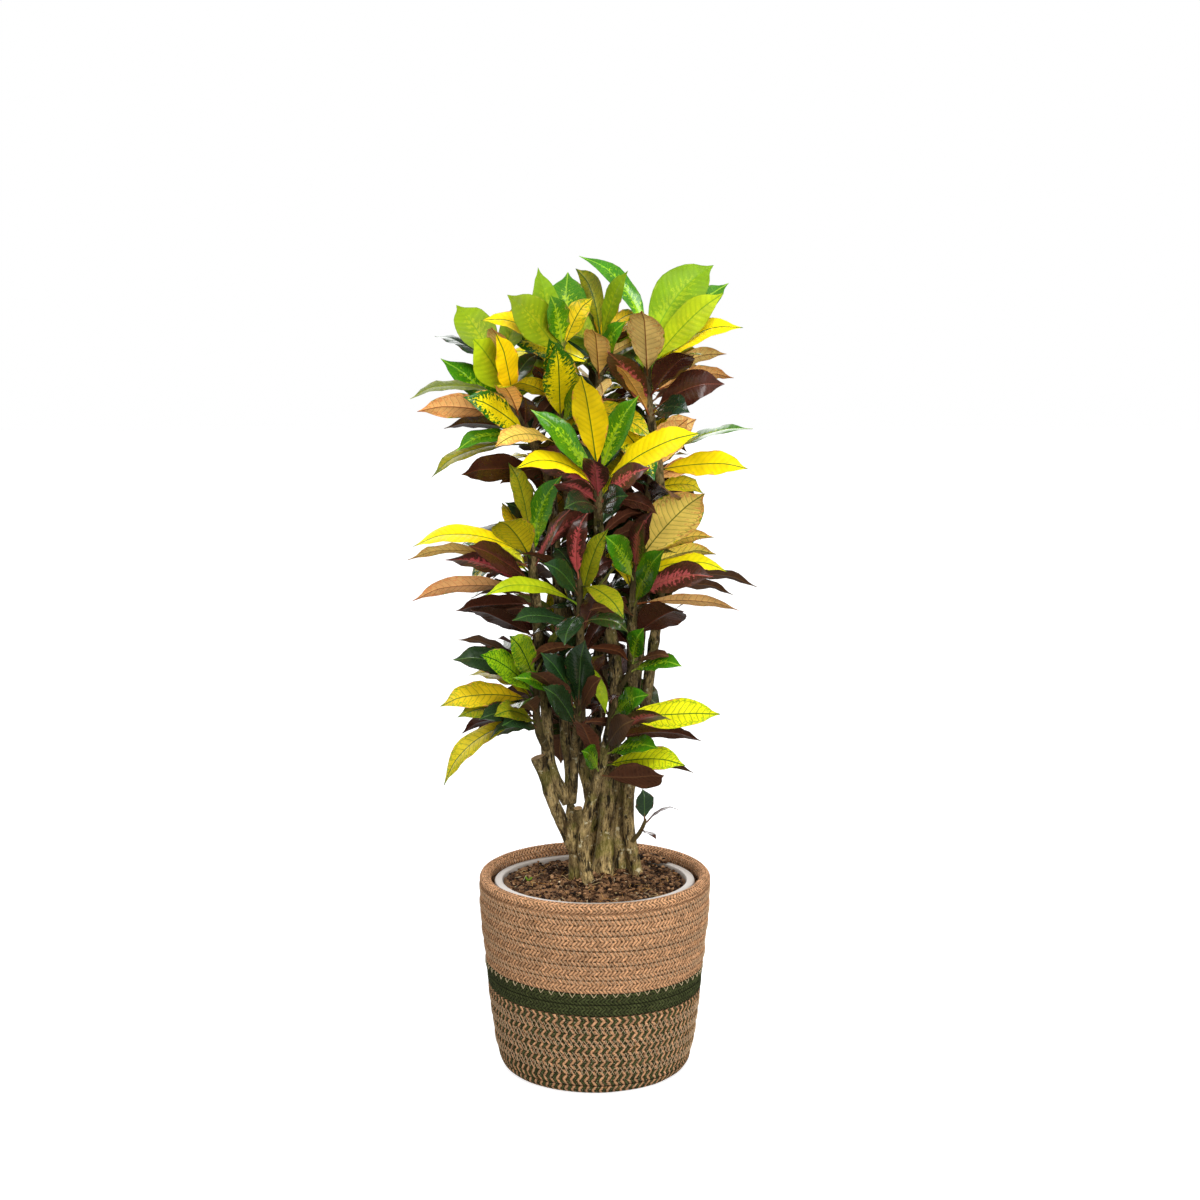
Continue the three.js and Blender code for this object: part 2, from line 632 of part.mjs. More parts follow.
// A filling leaf: high ones stand up and are small, low ones spread and droop.
function leafByRule(path, shoot, index, draw) {
  const share = (index + 0.5) / shoot.fill;
  const footZ = shoot.to - 3 - (shoot.to - shoot.from - 6) * share;
  const turn = (GOLDEN_TURN * index + shoot.from * 0.37 + 0.5 * (draw() - 0.5)) % (2 * Math.PI);
  // shoots with read leaves at the front are filled on their far side
  const azimuth = shoot.leaves.length ? Math.PI / 2 + (turn / Math.PI - 1) * FILL_SPREAD : turn;
  const rise = radians(62 - 84 * share + 30 * (draw() - 0.5));
  const length = 96 + 34 * Math.min(1, 2 * share) + 16 * (draw() - 0.5);
  const width = length * (0.33 + 0.08 * draw());
  const face = radians(100 * (draw() - 0.5));
  const arch = 5 + 9 * draw();
  return { foot: axisAt(path, footZ).slice(0, 3), azimuth, rise, length, width, face, arch };
}

// The leaf's middle line, blade side and blade normal at a share of its length.
function leafFrame(leaf, t) {
  const across = [Math.cos(leaf.azimuth), Math.sin(leaf.azimuth), 0];
  const along = add(scale(across, Math.cos(leaf.rise)), [0, 0, Math.sin(leaf.rise)]);
  const above = add(scale(across, -Math.sin(leaf.rise)), [0, 0, Math.cos(leaf.rise)]);
  const bow = 4 * leaf.arch * t * (1 - t);
  const slope = 4 * leaf.arch * (1 - 2 * t) / leaf.length;
  const point = add(leaf.foot, add(scale(along, leaf.length * t), scale(above, bow)));
  const tangent = unit(add(along, scale(above, slope)));
  let side = [Math.sin(leaf.azimuth), -Math.cos(leaf.azimuth), 0];
  if (side[1] > 0) side = scale(side, -1);
  const normal = unit(sub(above, scale(tangent, dot(above, tangent))));
  const [c, s] = [Math.cos(leaf.face), Math.sin(leaf.face)];
  return {
    point,
    normal: add(scale(normal, c), scale(side, s)),
    side: sub(scale(side, c), scale(normal, s)),
  };
}

// Half width of the blade at a share of the leaf's length.
function halfWidth(leaf, t) {
  const u = Math.min(1, Math.max(0, (t - STALK_SHARE) / (1 - STALK_SHARE)));
  return 0.5 * leaf.width * Math.sin(Math.PI * u ** 1.1) ** 0.85;
}

// ---------------------------------------------------------------- keeping leaves clear of each other

const TEST_STATIONS = [0, 0.07, STALK_SHARE, 0.38, 0.6, 0.8, 1];
const PIECE_TRIANGLES = 4;             // triangles of a test sheet between two stations

// A thin sheet in the leaf's shape, lifted along its normal and grown at its edges.
function leafSheet(leaf, lift, grow) {
  const rows = TEST_STATIONS.map((t) => {
    const { point, normal, side } = leafFrame(leaf, t);
    const half = t < STALK_SHARE + 0.01 ? STALK_RADIUS + grow : halfWidth(leaf, t) + grow;
    const centre = add(point, scale(normal, lift));
    const edge = add(centre, scale(normal, BLADE_FOLD * half));
    return [add(edge, scale(side, half)), centre, sub(edge, scale(side, half))];
  });
  const sheet = [];
  for (let i = 0; i < rows.length - 1; i += 1) {
    const [a, b] = [rows[i], rows[i + 1]];
    sheet.push([a[0], a[1], b[1]], [a[0], b[1], b[0]], [a[1], a[2], b[2]], [a[1], b[2], b[1]]);
  }
  return sheet;
}

function segmentHits(p, q, [a, b, c]) {
  const way = sub(q, p);
  const [e1, e2] = [sub(b, a), sub(c, a)];
  const h = cross(way, e2);
  const det = dot(e1, h);
  if (Math.abs(det) < 1e-9) return false;
  const s = sub(p, a);
  const u = dot(s, h) / det;
  if (u < 0 || u > 1) return false;
  const k = cross(s, e1);
  const v = dot(way, k) / det;
  if (v < 0 || u + v > 1) return false;
  const t = dot(e2, k) / det;
  return t >= 0 && t <= 1;
}

function trianglesHit(one, two) {
  return [0, 1, 2].some((i) => {
    const next = (i + 1) % 3;
    return segmentHits(one[i], one[next], two) || segmentHits(two[i], two[next], one);
  });
}

function boundsOf(triangles) {
  const low = [Infinity, Infinity, Infinity];
  const high = [-Infinity, -Infinity, -Infinity];
  for (const triangle of triangles) {
    for (const p of triangle) {
      for (let k = 0; k < 3; k += 1) {
        low[k] = Math.min(low[k], p[k]);
        high[k] = Math.max(high[k], p[k]);
      }
    }
  }
  return { low, high };
}

const apart = (a, b) => [0, 1, 2].some((k) => a.low[k] > b.high[k] || b.low[k] > a.high[k]);

// A square prism round each length of wood.
function woodSheet(path) {
  const sheet = [];
  for (let i = 0; i < path.length - 1; i += 1) {
    const corners = [path[i], path[i + 1]].map(([x, y, z, r]) => {
      const reach = 1.2 * r + 1;
      return [[x + reach, y, z], [x, y + reach, z], [x - reach, y, z], [x, y - reach, z]];
    });
    for (let k = 0; k < 4; k += 1) {
      const n = (k + 1) % 4;
      sheet.push([corners[0][k], corners[0][n], corners[1][n]]);
      sheet.push([corners[0][k], corners[1][n], corners[1][k]]);
    }
  }
  return sheet;
}

// Whether a leaf hangs clear of all other wood and blades, or only of those on other stems.
function clearOf(leaf, stemIndex, placed, ownStemToo = true) {
  const sheets = [0, LEAF_CLEARANCE, -LEAF_CLEARANCE].map((lift) => leafSheet(leaf, lift, LEAF_CLEARANCE));
  const bounds = boundsOf(sheets.flat());
  for (const other of placed) {
    const ownStem = other.stem === stemIndex;
    if (apart(bounds, other.bounds) || (ownStem && !ownStemToo)) continue;
    // on its own stem a stalk may meet the wood, and all stalks start inside it
    const skipped = ownStem ? PIECE_TRIANGLES * (other.isWood ? 2 : 1) : 0;
    const against = ownStem && !other.isWood ? other.sheet.slice(PIECE_TRIANGLES) : other.sheet;
    for (const sheet of sheets) {
      for (const one of sheet.slice(skipped)) {
        for (const two of against) {
          if (trianglesHit(one, two)) return false;
        }
      }
    }
  }
  return true;
}

function keepLeaf(leaf, stemIndex, placed) {
  const sheet = leafSheet(leaf, 0, 0);
  placed.push({ stem: stemIndex, sheet, isWood: false, bounds: boundsOf(sheet) });
  return leaf;
}

// Changes of depth, foot height and face that are tried in order until a read leaf hangs clear.
const READ_NUDGES = [[0, 0, 0], [-12, 0, 0], [12, 0, 0], [0, 6, 0], [0, -6, 0], [-24, 0, 0], [24, 0, 0],
  [-12, 7, 0], [12, 7, 0], [-12, -7, 0], [12, -7, 0], [0, 0, 15], [0, 0, -15], [-24, 0, 14], [24, 0, -14],
  [-38, 0, 0], [38, 0, 0], [0, 13, 0], [0, -13, 0], [-26, 12, 0], [26, -12, 0], [-50, 0, 0], [50, 0, 0]];

function placeRead(path, row, stemIndex, placed) {
  for (const ownStemToo of [true, false]) {
    for (const [deeper, higher, turned] of READ_NUDGES) {
      const [tipX, tipZ, depth, footZ, width, face, arch] = row;
      const tried = [tipX, tipZ, depth + deeper, footZ + higher, width, face + turned, arch];
      const leaf = leafFromTip(path, tried);
      if (clearOf(leaf, stemIndex, placed, ownStemToo)) return keepLeaf(leaf, stemIndex, placed);
    }
  }
  return null;
}

// Turns and rises, in degrees, that are tried in order until a filling leaf hangs clear.
const FILL_NUDGES = [[0, 0], [9, 0], [-9, 0], [0, 9], [0, -9], [16, 10], [-16, 10], [16, -10], [-16, -10],
  [26, 0], [-26, 0], [0, 20], [0, -20], [34, 16], [-34, 16], [34, -16], [-34, -16], [48, 0], [-48, 0]];

function placeFill(leaf, stemIndex, placed) {
  for (const [turn, lift] of FILL_NUDGES) {
    const tried = { ...leaf, azimuth: leaf.azimuth + radians(turn), rise: leaf.rise + radians(lift) };
    if (insideOutline(tried) && clearOf(tried, stemIndex, placed)) return keepLeaf(tried, stemIndex, placed);
  }
  return null;
}

const SHRINK_STEPS = 3;                // how often a filling leaf is made smaller to stay inside

// Widest reach of the foliage from the plant's middle line at each height.
const FOLIAGE_CENTRE = [-8, 12];
const FOLIAGE_REACH = [[380, 60], [450, 160], [520, 165], [570, 130], [610, 130], [640, 200], [700, 195],
  [740, 135], [770, 145], [810, 205], [900, 205], [990, 165], [1060, 60]];
// Left and right edge of the foliage at each height, and its top edge from left to right,
// as seen from the view point on the plant's middle plane.
const SEEN_LEFT = [[431, -60], [440, -113], [444, -156], [480, -185], [545, -174], [571, -171], [584, -120],
  [601, -154], [623, -205], [708, -183], [721, -113], [752, -119], [765, -149], [781, -167], [819, -175],
  [853, -213], [885, -215], [902, -178], [989, -171], [1002, -104], [1027, -77]];
const SEEN_RIGHT = [[380, 70], [431, 105], [475, 101], [506, 37], [523, 50], [545, 80], [562, 45], [579, 50],
  [601, 122], [623, 175], [649, 179], [679, 145], [708, 137], [777, 130], [835, 124], [878, 95],
  [890, 158], [931, 162], [1039, 148]];
const SEEN_TOP = [[-190, 985], [-100, 998], [-40, 1020], [35, 1020], [50, 985], [75, 985], [90, 1015],
  [150, 1035]];

// Whether a filling leaf stays within the shape of the plant.
function insideOutline(leaf) {
  return [0.5, 0.75, 1].every((t) => {
    const { point } = leafFrame(leaf, t);
    const reach = Math.hypot(point[0] - FOLIAGE_CENTRE[0], point[1] - FOLIAGE_CENTRE[1]);
    const [x, , z] = mix(VIEW_POINT, point, VIEW_POINT[1] / (VIEW_POINT[1] - point[1]));
    return reach <= readTable(FOLIAGE_REACH, point[2]) && x >= readTable(SEEN_LEFT, z)
      && x <= readTable(SEEN_RIGHT, z) && z <= readTable(SEEN_TOP, x);
  });
}

function growLeaves() {
  const placed = [];
  STEMS.forEach((stem, index) => {
    for (const path of stem.wood) {
      const sheet = woodSheet(path);
      placed.push({ stem: index, sheet, isWood: true, bounds: boundsOf(sheet) });
    }
    stem.grown = [];
  });
  STEMS.forEach((stem, index) => {
    for (const shoot of stem.shoots) {
      for (const row of shoot.leaves) {
        const leaf = placeRead(stem.wood[shoot.path], row, index, placed);
        if (leaf) stem.grown.push({ ...leaf, stations: leaf.width > 43 ? LONG_STATIONS : SHORT_STATIONS });
      }
    }
  });
  const draw = makeDraw(4711);
  STEMS.forEach((stem, index) => {
    for (const shoot of stem.shoots) {
      for (let i = 0; i < shoot.fill; i += 1) {
        const wished = leafByRule(stem.wood[shoot.path], shoot, i, draw);
        for (let shrink = 0; shrink < SHRINK_STEPS && !insideOutline(wished); shrink += 1) {
          wished.length *= 0.88;
          wished.width *= 0.94;
        }
        const leaf = placeFill(wished, index, placed);
        if (leaf) stem.grown.push({ ...leaf, stations: SHORT_STATIONS });
      }
    }
  });
}

// ---------------------------------------------------------------- leaves as solids

// A three-sided stalk, pointed inside the wood, that opens into a folded blade with a raised rib.
function leafSolid(leaf) {
  const start = leafFrame(leaf, 0);
  const { point: end, normal: up, side: across } = leafFrame(leaf, STALK_SHARE);
  const along = unit(sub(end, start.point));
  const [high, wide] = [scale(up, 0.6 * STALK_RADIUS), scale(across, STALK_RADIUS)];
  const vertices = [
    sub(start.point, scale(along, STALK_SINK)),
    add(end, add(high, wide)), add(end, sub(high, wide)), sub(end, scale(up, STALK_RADIUS)),
  ];
  for (const t of leaf.stations) {
    const { point, normal, side } = leafFrame(leaf, t);
    const half = halfWidth(leaf, t);
    const edge = add(point, scale(normal, BLADE_FOLD * half));
    const [above, below] = [scale(normal, BLADE_THICKNESS / 2), scale(normal, -BLADE_THICKNESS / 2)];
    const [left, right] = [add(edge, scale(side, half)), sub(edge, scale(side, half))];
    vertices.push(add(left, above), add(point, above), add(right, above), add(right, below),
      add(point, scale(normal, BLADE_THICKNESS / 2 - RIB_THICKNESS)), add(left, below));
  }
  vertices.push(leafFrame(leaf, 1).point);

  const triangles = [[0, 1, 2], [0, 2, 3], [0, 3, 1]];
  // the stalk's end, points 1 to 3, meets the first blade section, points 4 to 9
  triangles.push([1, 4, 5], [1, 5, 2], [2, 5, 6], [2, 6, 7], [2, 7, 8]);
  triangles.push([2, 8, 3], [3, 8, 9], [3, 9, 1], [1, 9, 4]);
  const last = 4 + 6 * (leaf.stations.length - 1);
  for (let base = 4; base < last; base += 6) {
    for (let k = 0; k < 6; k += 1) {
      const next = (k + 1) % 6;
      const [p, q, r, s] = [base + k, base + next, base + 6 + k, base + 6 + next];
      // both faces of the blade are split along the same diagonals
      if (k === 0 || k === 3) triangles.push([p, r, q], [q, r, s]);
      else triangles.push([p, r, s], [p, s, q]);
    }
  }
  const tip = vertices.length - 1;
  for (let k = 0; k < 6; k += 1) triangles.push([last + k, tip, last + (k + 1) % 6]);
  const solid = solidOf(geometryOf(vertices, triangles));
  if (solid.volume() > 0) return solid;
  return solidOf(geometryOf(vertices, triangles.map(([i, j, k]) => [i, k, j])));
}

function stemGeometry(stem) {
  const pieces = stem.wood.map((path) => solidOf(tube(path)));
  for (const leaf of stem.grown) pieces.push(leafSolid(leaf));
  return geometryFrom(wasm.Manifold.union(pieces));
}

// ---------------------------------------------------------------- the whole object

const STEM_COLOURS = {
  stem_left: 0x9a8f2a,
  stem_front: 0x5c6a22,
  stem_centre: 0xb7a424,
  stem_right: 0x8a6a2c,
  stem_far_right: 0x8f9a30,
  stem_back_left: 0x7f9a2c,
  stem_back_right: 0x5a3a28,
};

growLeaves();

const plant = new THREE.Group();
plant.add(meshOf('basket_natural_rows', wound(naturalRowsProfile()), 0xb48a64, 0.9));
plant.add(meshOf('basket_green_rows', wound(ringProfile(GREEN_SEAMS, JOINT_GAP)), 0x2c3a1e, 0.9));
plant.add(meshOf('basket_two_tone_rows', wound(twoToneRowsProfile()), 0x7a6a48, 0.9));
plant.add(meshOf('nursery_pot', nurseryPotGeometry(), 0xaaa59f, 0.55));
plant.add(meshOf('soil', soilGeometry(STEMS), 0x3f2c20, 1));
for (const stem of STEMS) {
  plant.add(meshOf(stem.name, stemGeometry(stem), STEM_COLOURS[stem.name], 0.45));
}

export default plant;
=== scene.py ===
"""Looks for a potted croton in a braided basket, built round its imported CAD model."""

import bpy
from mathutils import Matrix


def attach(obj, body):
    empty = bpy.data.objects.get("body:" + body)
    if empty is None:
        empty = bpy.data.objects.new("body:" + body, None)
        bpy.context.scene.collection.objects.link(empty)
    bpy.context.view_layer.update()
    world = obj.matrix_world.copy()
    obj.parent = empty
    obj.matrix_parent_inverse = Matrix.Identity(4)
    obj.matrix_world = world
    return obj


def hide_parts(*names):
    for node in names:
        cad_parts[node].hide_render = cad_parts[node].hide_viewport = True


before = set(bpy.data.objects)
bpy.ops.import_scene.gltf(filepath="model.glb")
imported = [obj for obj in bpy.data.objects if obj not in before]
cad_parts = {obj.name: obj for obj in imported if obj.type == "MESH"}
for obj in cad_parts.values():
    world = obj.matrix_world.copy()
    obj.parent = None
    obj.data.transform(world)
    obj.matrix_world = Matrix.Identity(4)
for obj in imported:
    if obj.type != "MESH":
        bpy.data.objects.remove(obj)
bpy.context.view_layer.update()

import math
from collections import namedtuple

import bpy
import numpy as np
from mathutils import Vector
from mathutils.bvhtree import BVHTree
from mathutils.kdtree import KDTree

bl_info = {
    "name": "Potted croton",
    "version": (1, 0, 0),
    "blender": (4, 5, 0),
    "location": "View3D > Sidebar > Croton",
    "description": "Builds a potted croton in a braided basket round its CAD frame",
    "category": "Object",
}

# Sizes are in millimetres unless a name says otherwise; MM turns them into metres.
MM = 0.001

# ---------------------------------------------------------------- sizes shared with the CAD model

BASKET_HEIGHT = 257
RIM_ROLL_RADIUS = 7.5
RIM_RADIUS = 142.5
WALL_THICKNESS = 7
BASKET_OUTLINE = ((0, 116), (4, 121), (12, 125), (35, 129.5), (70, 134), (109, 138.5),
                  (139, 141.5), (175, 144.5), (205, 148), (257, 149.5))
ROW_SEAMS = (12, 34, 53, 71, 90, 109, 124, 139, 157, 176, 196, 216, 237)
# Rows, counted from the foot, where a colour of braid or a mesh piece starts.
GREEN_ROW, NATURAL_ROW, UPPER_ROW, RIM_ROW = 5, 7, 10, 12
FLOOR_PITCH = 19  # width of the braid in the floor

POT_RIM_RADIUS = 130
POT_RIM_WIDTH = 10.5
POT_RIM_DROP = 12
POT_TOP = 243
POT_FOOT = 7.3
POT_FOOT_RADIUS = 97
POT_WALL = 2
POT_WALL_INSET = 8.5  # from the edge of the rim to the top of the wall

SOIL_LEVEL = 232
SOIL_MOUND = 9
HOLE_DEPTH = 80
STEM_BASE = 14  # how far above the soil a stem still stands straight

VIEW_POINT = (7, -2800, 1088)
BLADE_THICKNESS = 0.7
BLADE_FOLD = 0.12
STALK_SHARE = 0.13
SHORT_STATIONS = (0.44, 0.76)
LONG_STATIONS = (0.38, 0.62, 0.84)
WIDE_LEAF = 43  # wider CAD leaves have more stations
GOLDEN_TURN = math.radians(137.508)
FILL_SPREAD = math.radians(105)
FOUND_WITHIN = 0.05  # how near a CAD corner has to be to count as met
# Places that the CAD model tries for a leaf: further back, higher and turned for one read from
# the photograph; turned and lifted, in degrees, for one placed by rule.
READ_NUDGES = ((0, 0, 0), (-12, 0, 0), (12, 0, 0), (0, 6, 0), (0, -6, 0), (-24, 0, 0), (24, 0, 0),
               (-12, 7, 0), (12, 7, 0), (-12, -7, 0), (12, -7, 0), (0, 0, 15), (0, 0, -15), (-24, 0, 14),
               (24, 0, -14), (-38, 0, 0), (38, 0, 0), (0, 13, 0), (0, -13, 0), (-26, 12, 0), (26, -12, 0),
               (-50, 0, 0), (50, 0, 0))
FILL_NUDGES = ((0, 0), (9, 0), (-9, 0), (0, 9), (0, -9), (16, 10), (-16, 10), (16, -10), (-16, -10),
               (26, 0), (-26, 0), (0, 20), (0, -20), (34, 16), (-34, 16), (34, -16), (-34, -16),
               (48, 0), (-48, 0))
SHRINK_STEPS, LENGTH_SHRINK, WIDTH_SHRINK = 3, 0.88, 0.94

PLACE_SEED, LOOK_SEED, INNER_SEED, THREAD_SEED, SOIL_SEED = 4711, 977, 2039, 57, 86

# How far the foliage reaches from its middle line at each height, and its outline as seen from
# the view point, on the plane through the basket's axis.
FOLIAGE_CENTRE = (-8, 12)
FOLIAGE_REACH = ((380, 60), (450, 160), (520, 165), (570, 130), (610, 130), (640, 200), (700, 195),
                 (740, 135), (770, 145), (810, 205), (900, 205), (990, 165), (1060, 60))
SEEN_LEFT = ((431, -60), (440, -113), (444, -156), (480, -185), (545, -174), (571, -171), (584, -120),
             (601, -154), (623, -205), (708, -183), (721, -113), (752, -119), (765, -149), (781, -167),
             (819, -175), (853, -213), (885, -215), (902, -178), (989, -171), (1002, -104), (1027, -77))
SEEN_RIGHT = ((380, 70), (431, 105), (475, 101), (506, 37), (523, 50), (545, 80), (562, 45), (579, 50),
              (601, 122), (623, 175), (649, 179), (679, 145), (708, 137), (777, 130), (835, 124), (878, 95),
              (890, 158), (931, 162), (1039, 148))
SEEN_TOP = ((-190, 985), (-100, 998), (-40, 1020), (35, 1020), (50, 985), (75, 985), (90, 1015), (150, 1035))

# ---------------------------------------------------------------- the plant

# A shoot: the wood path that it grows on, the heights between which it bears leaves, how many
# leaves fill it by rule, and its leaves read from the photograph as (tip x, tip z, tip depth,
# height of the foot, width, how the face is turned, arch, look).
Shoot = namedtuple("Shoot", "path low high fill leaves")


def in_soil(x, y, radius):
    return [x, y, SOIL_LEVEL - HOLE_DEPTH, radius], [x, y, SOIL_LEVEL + STEM_BASE, radius]


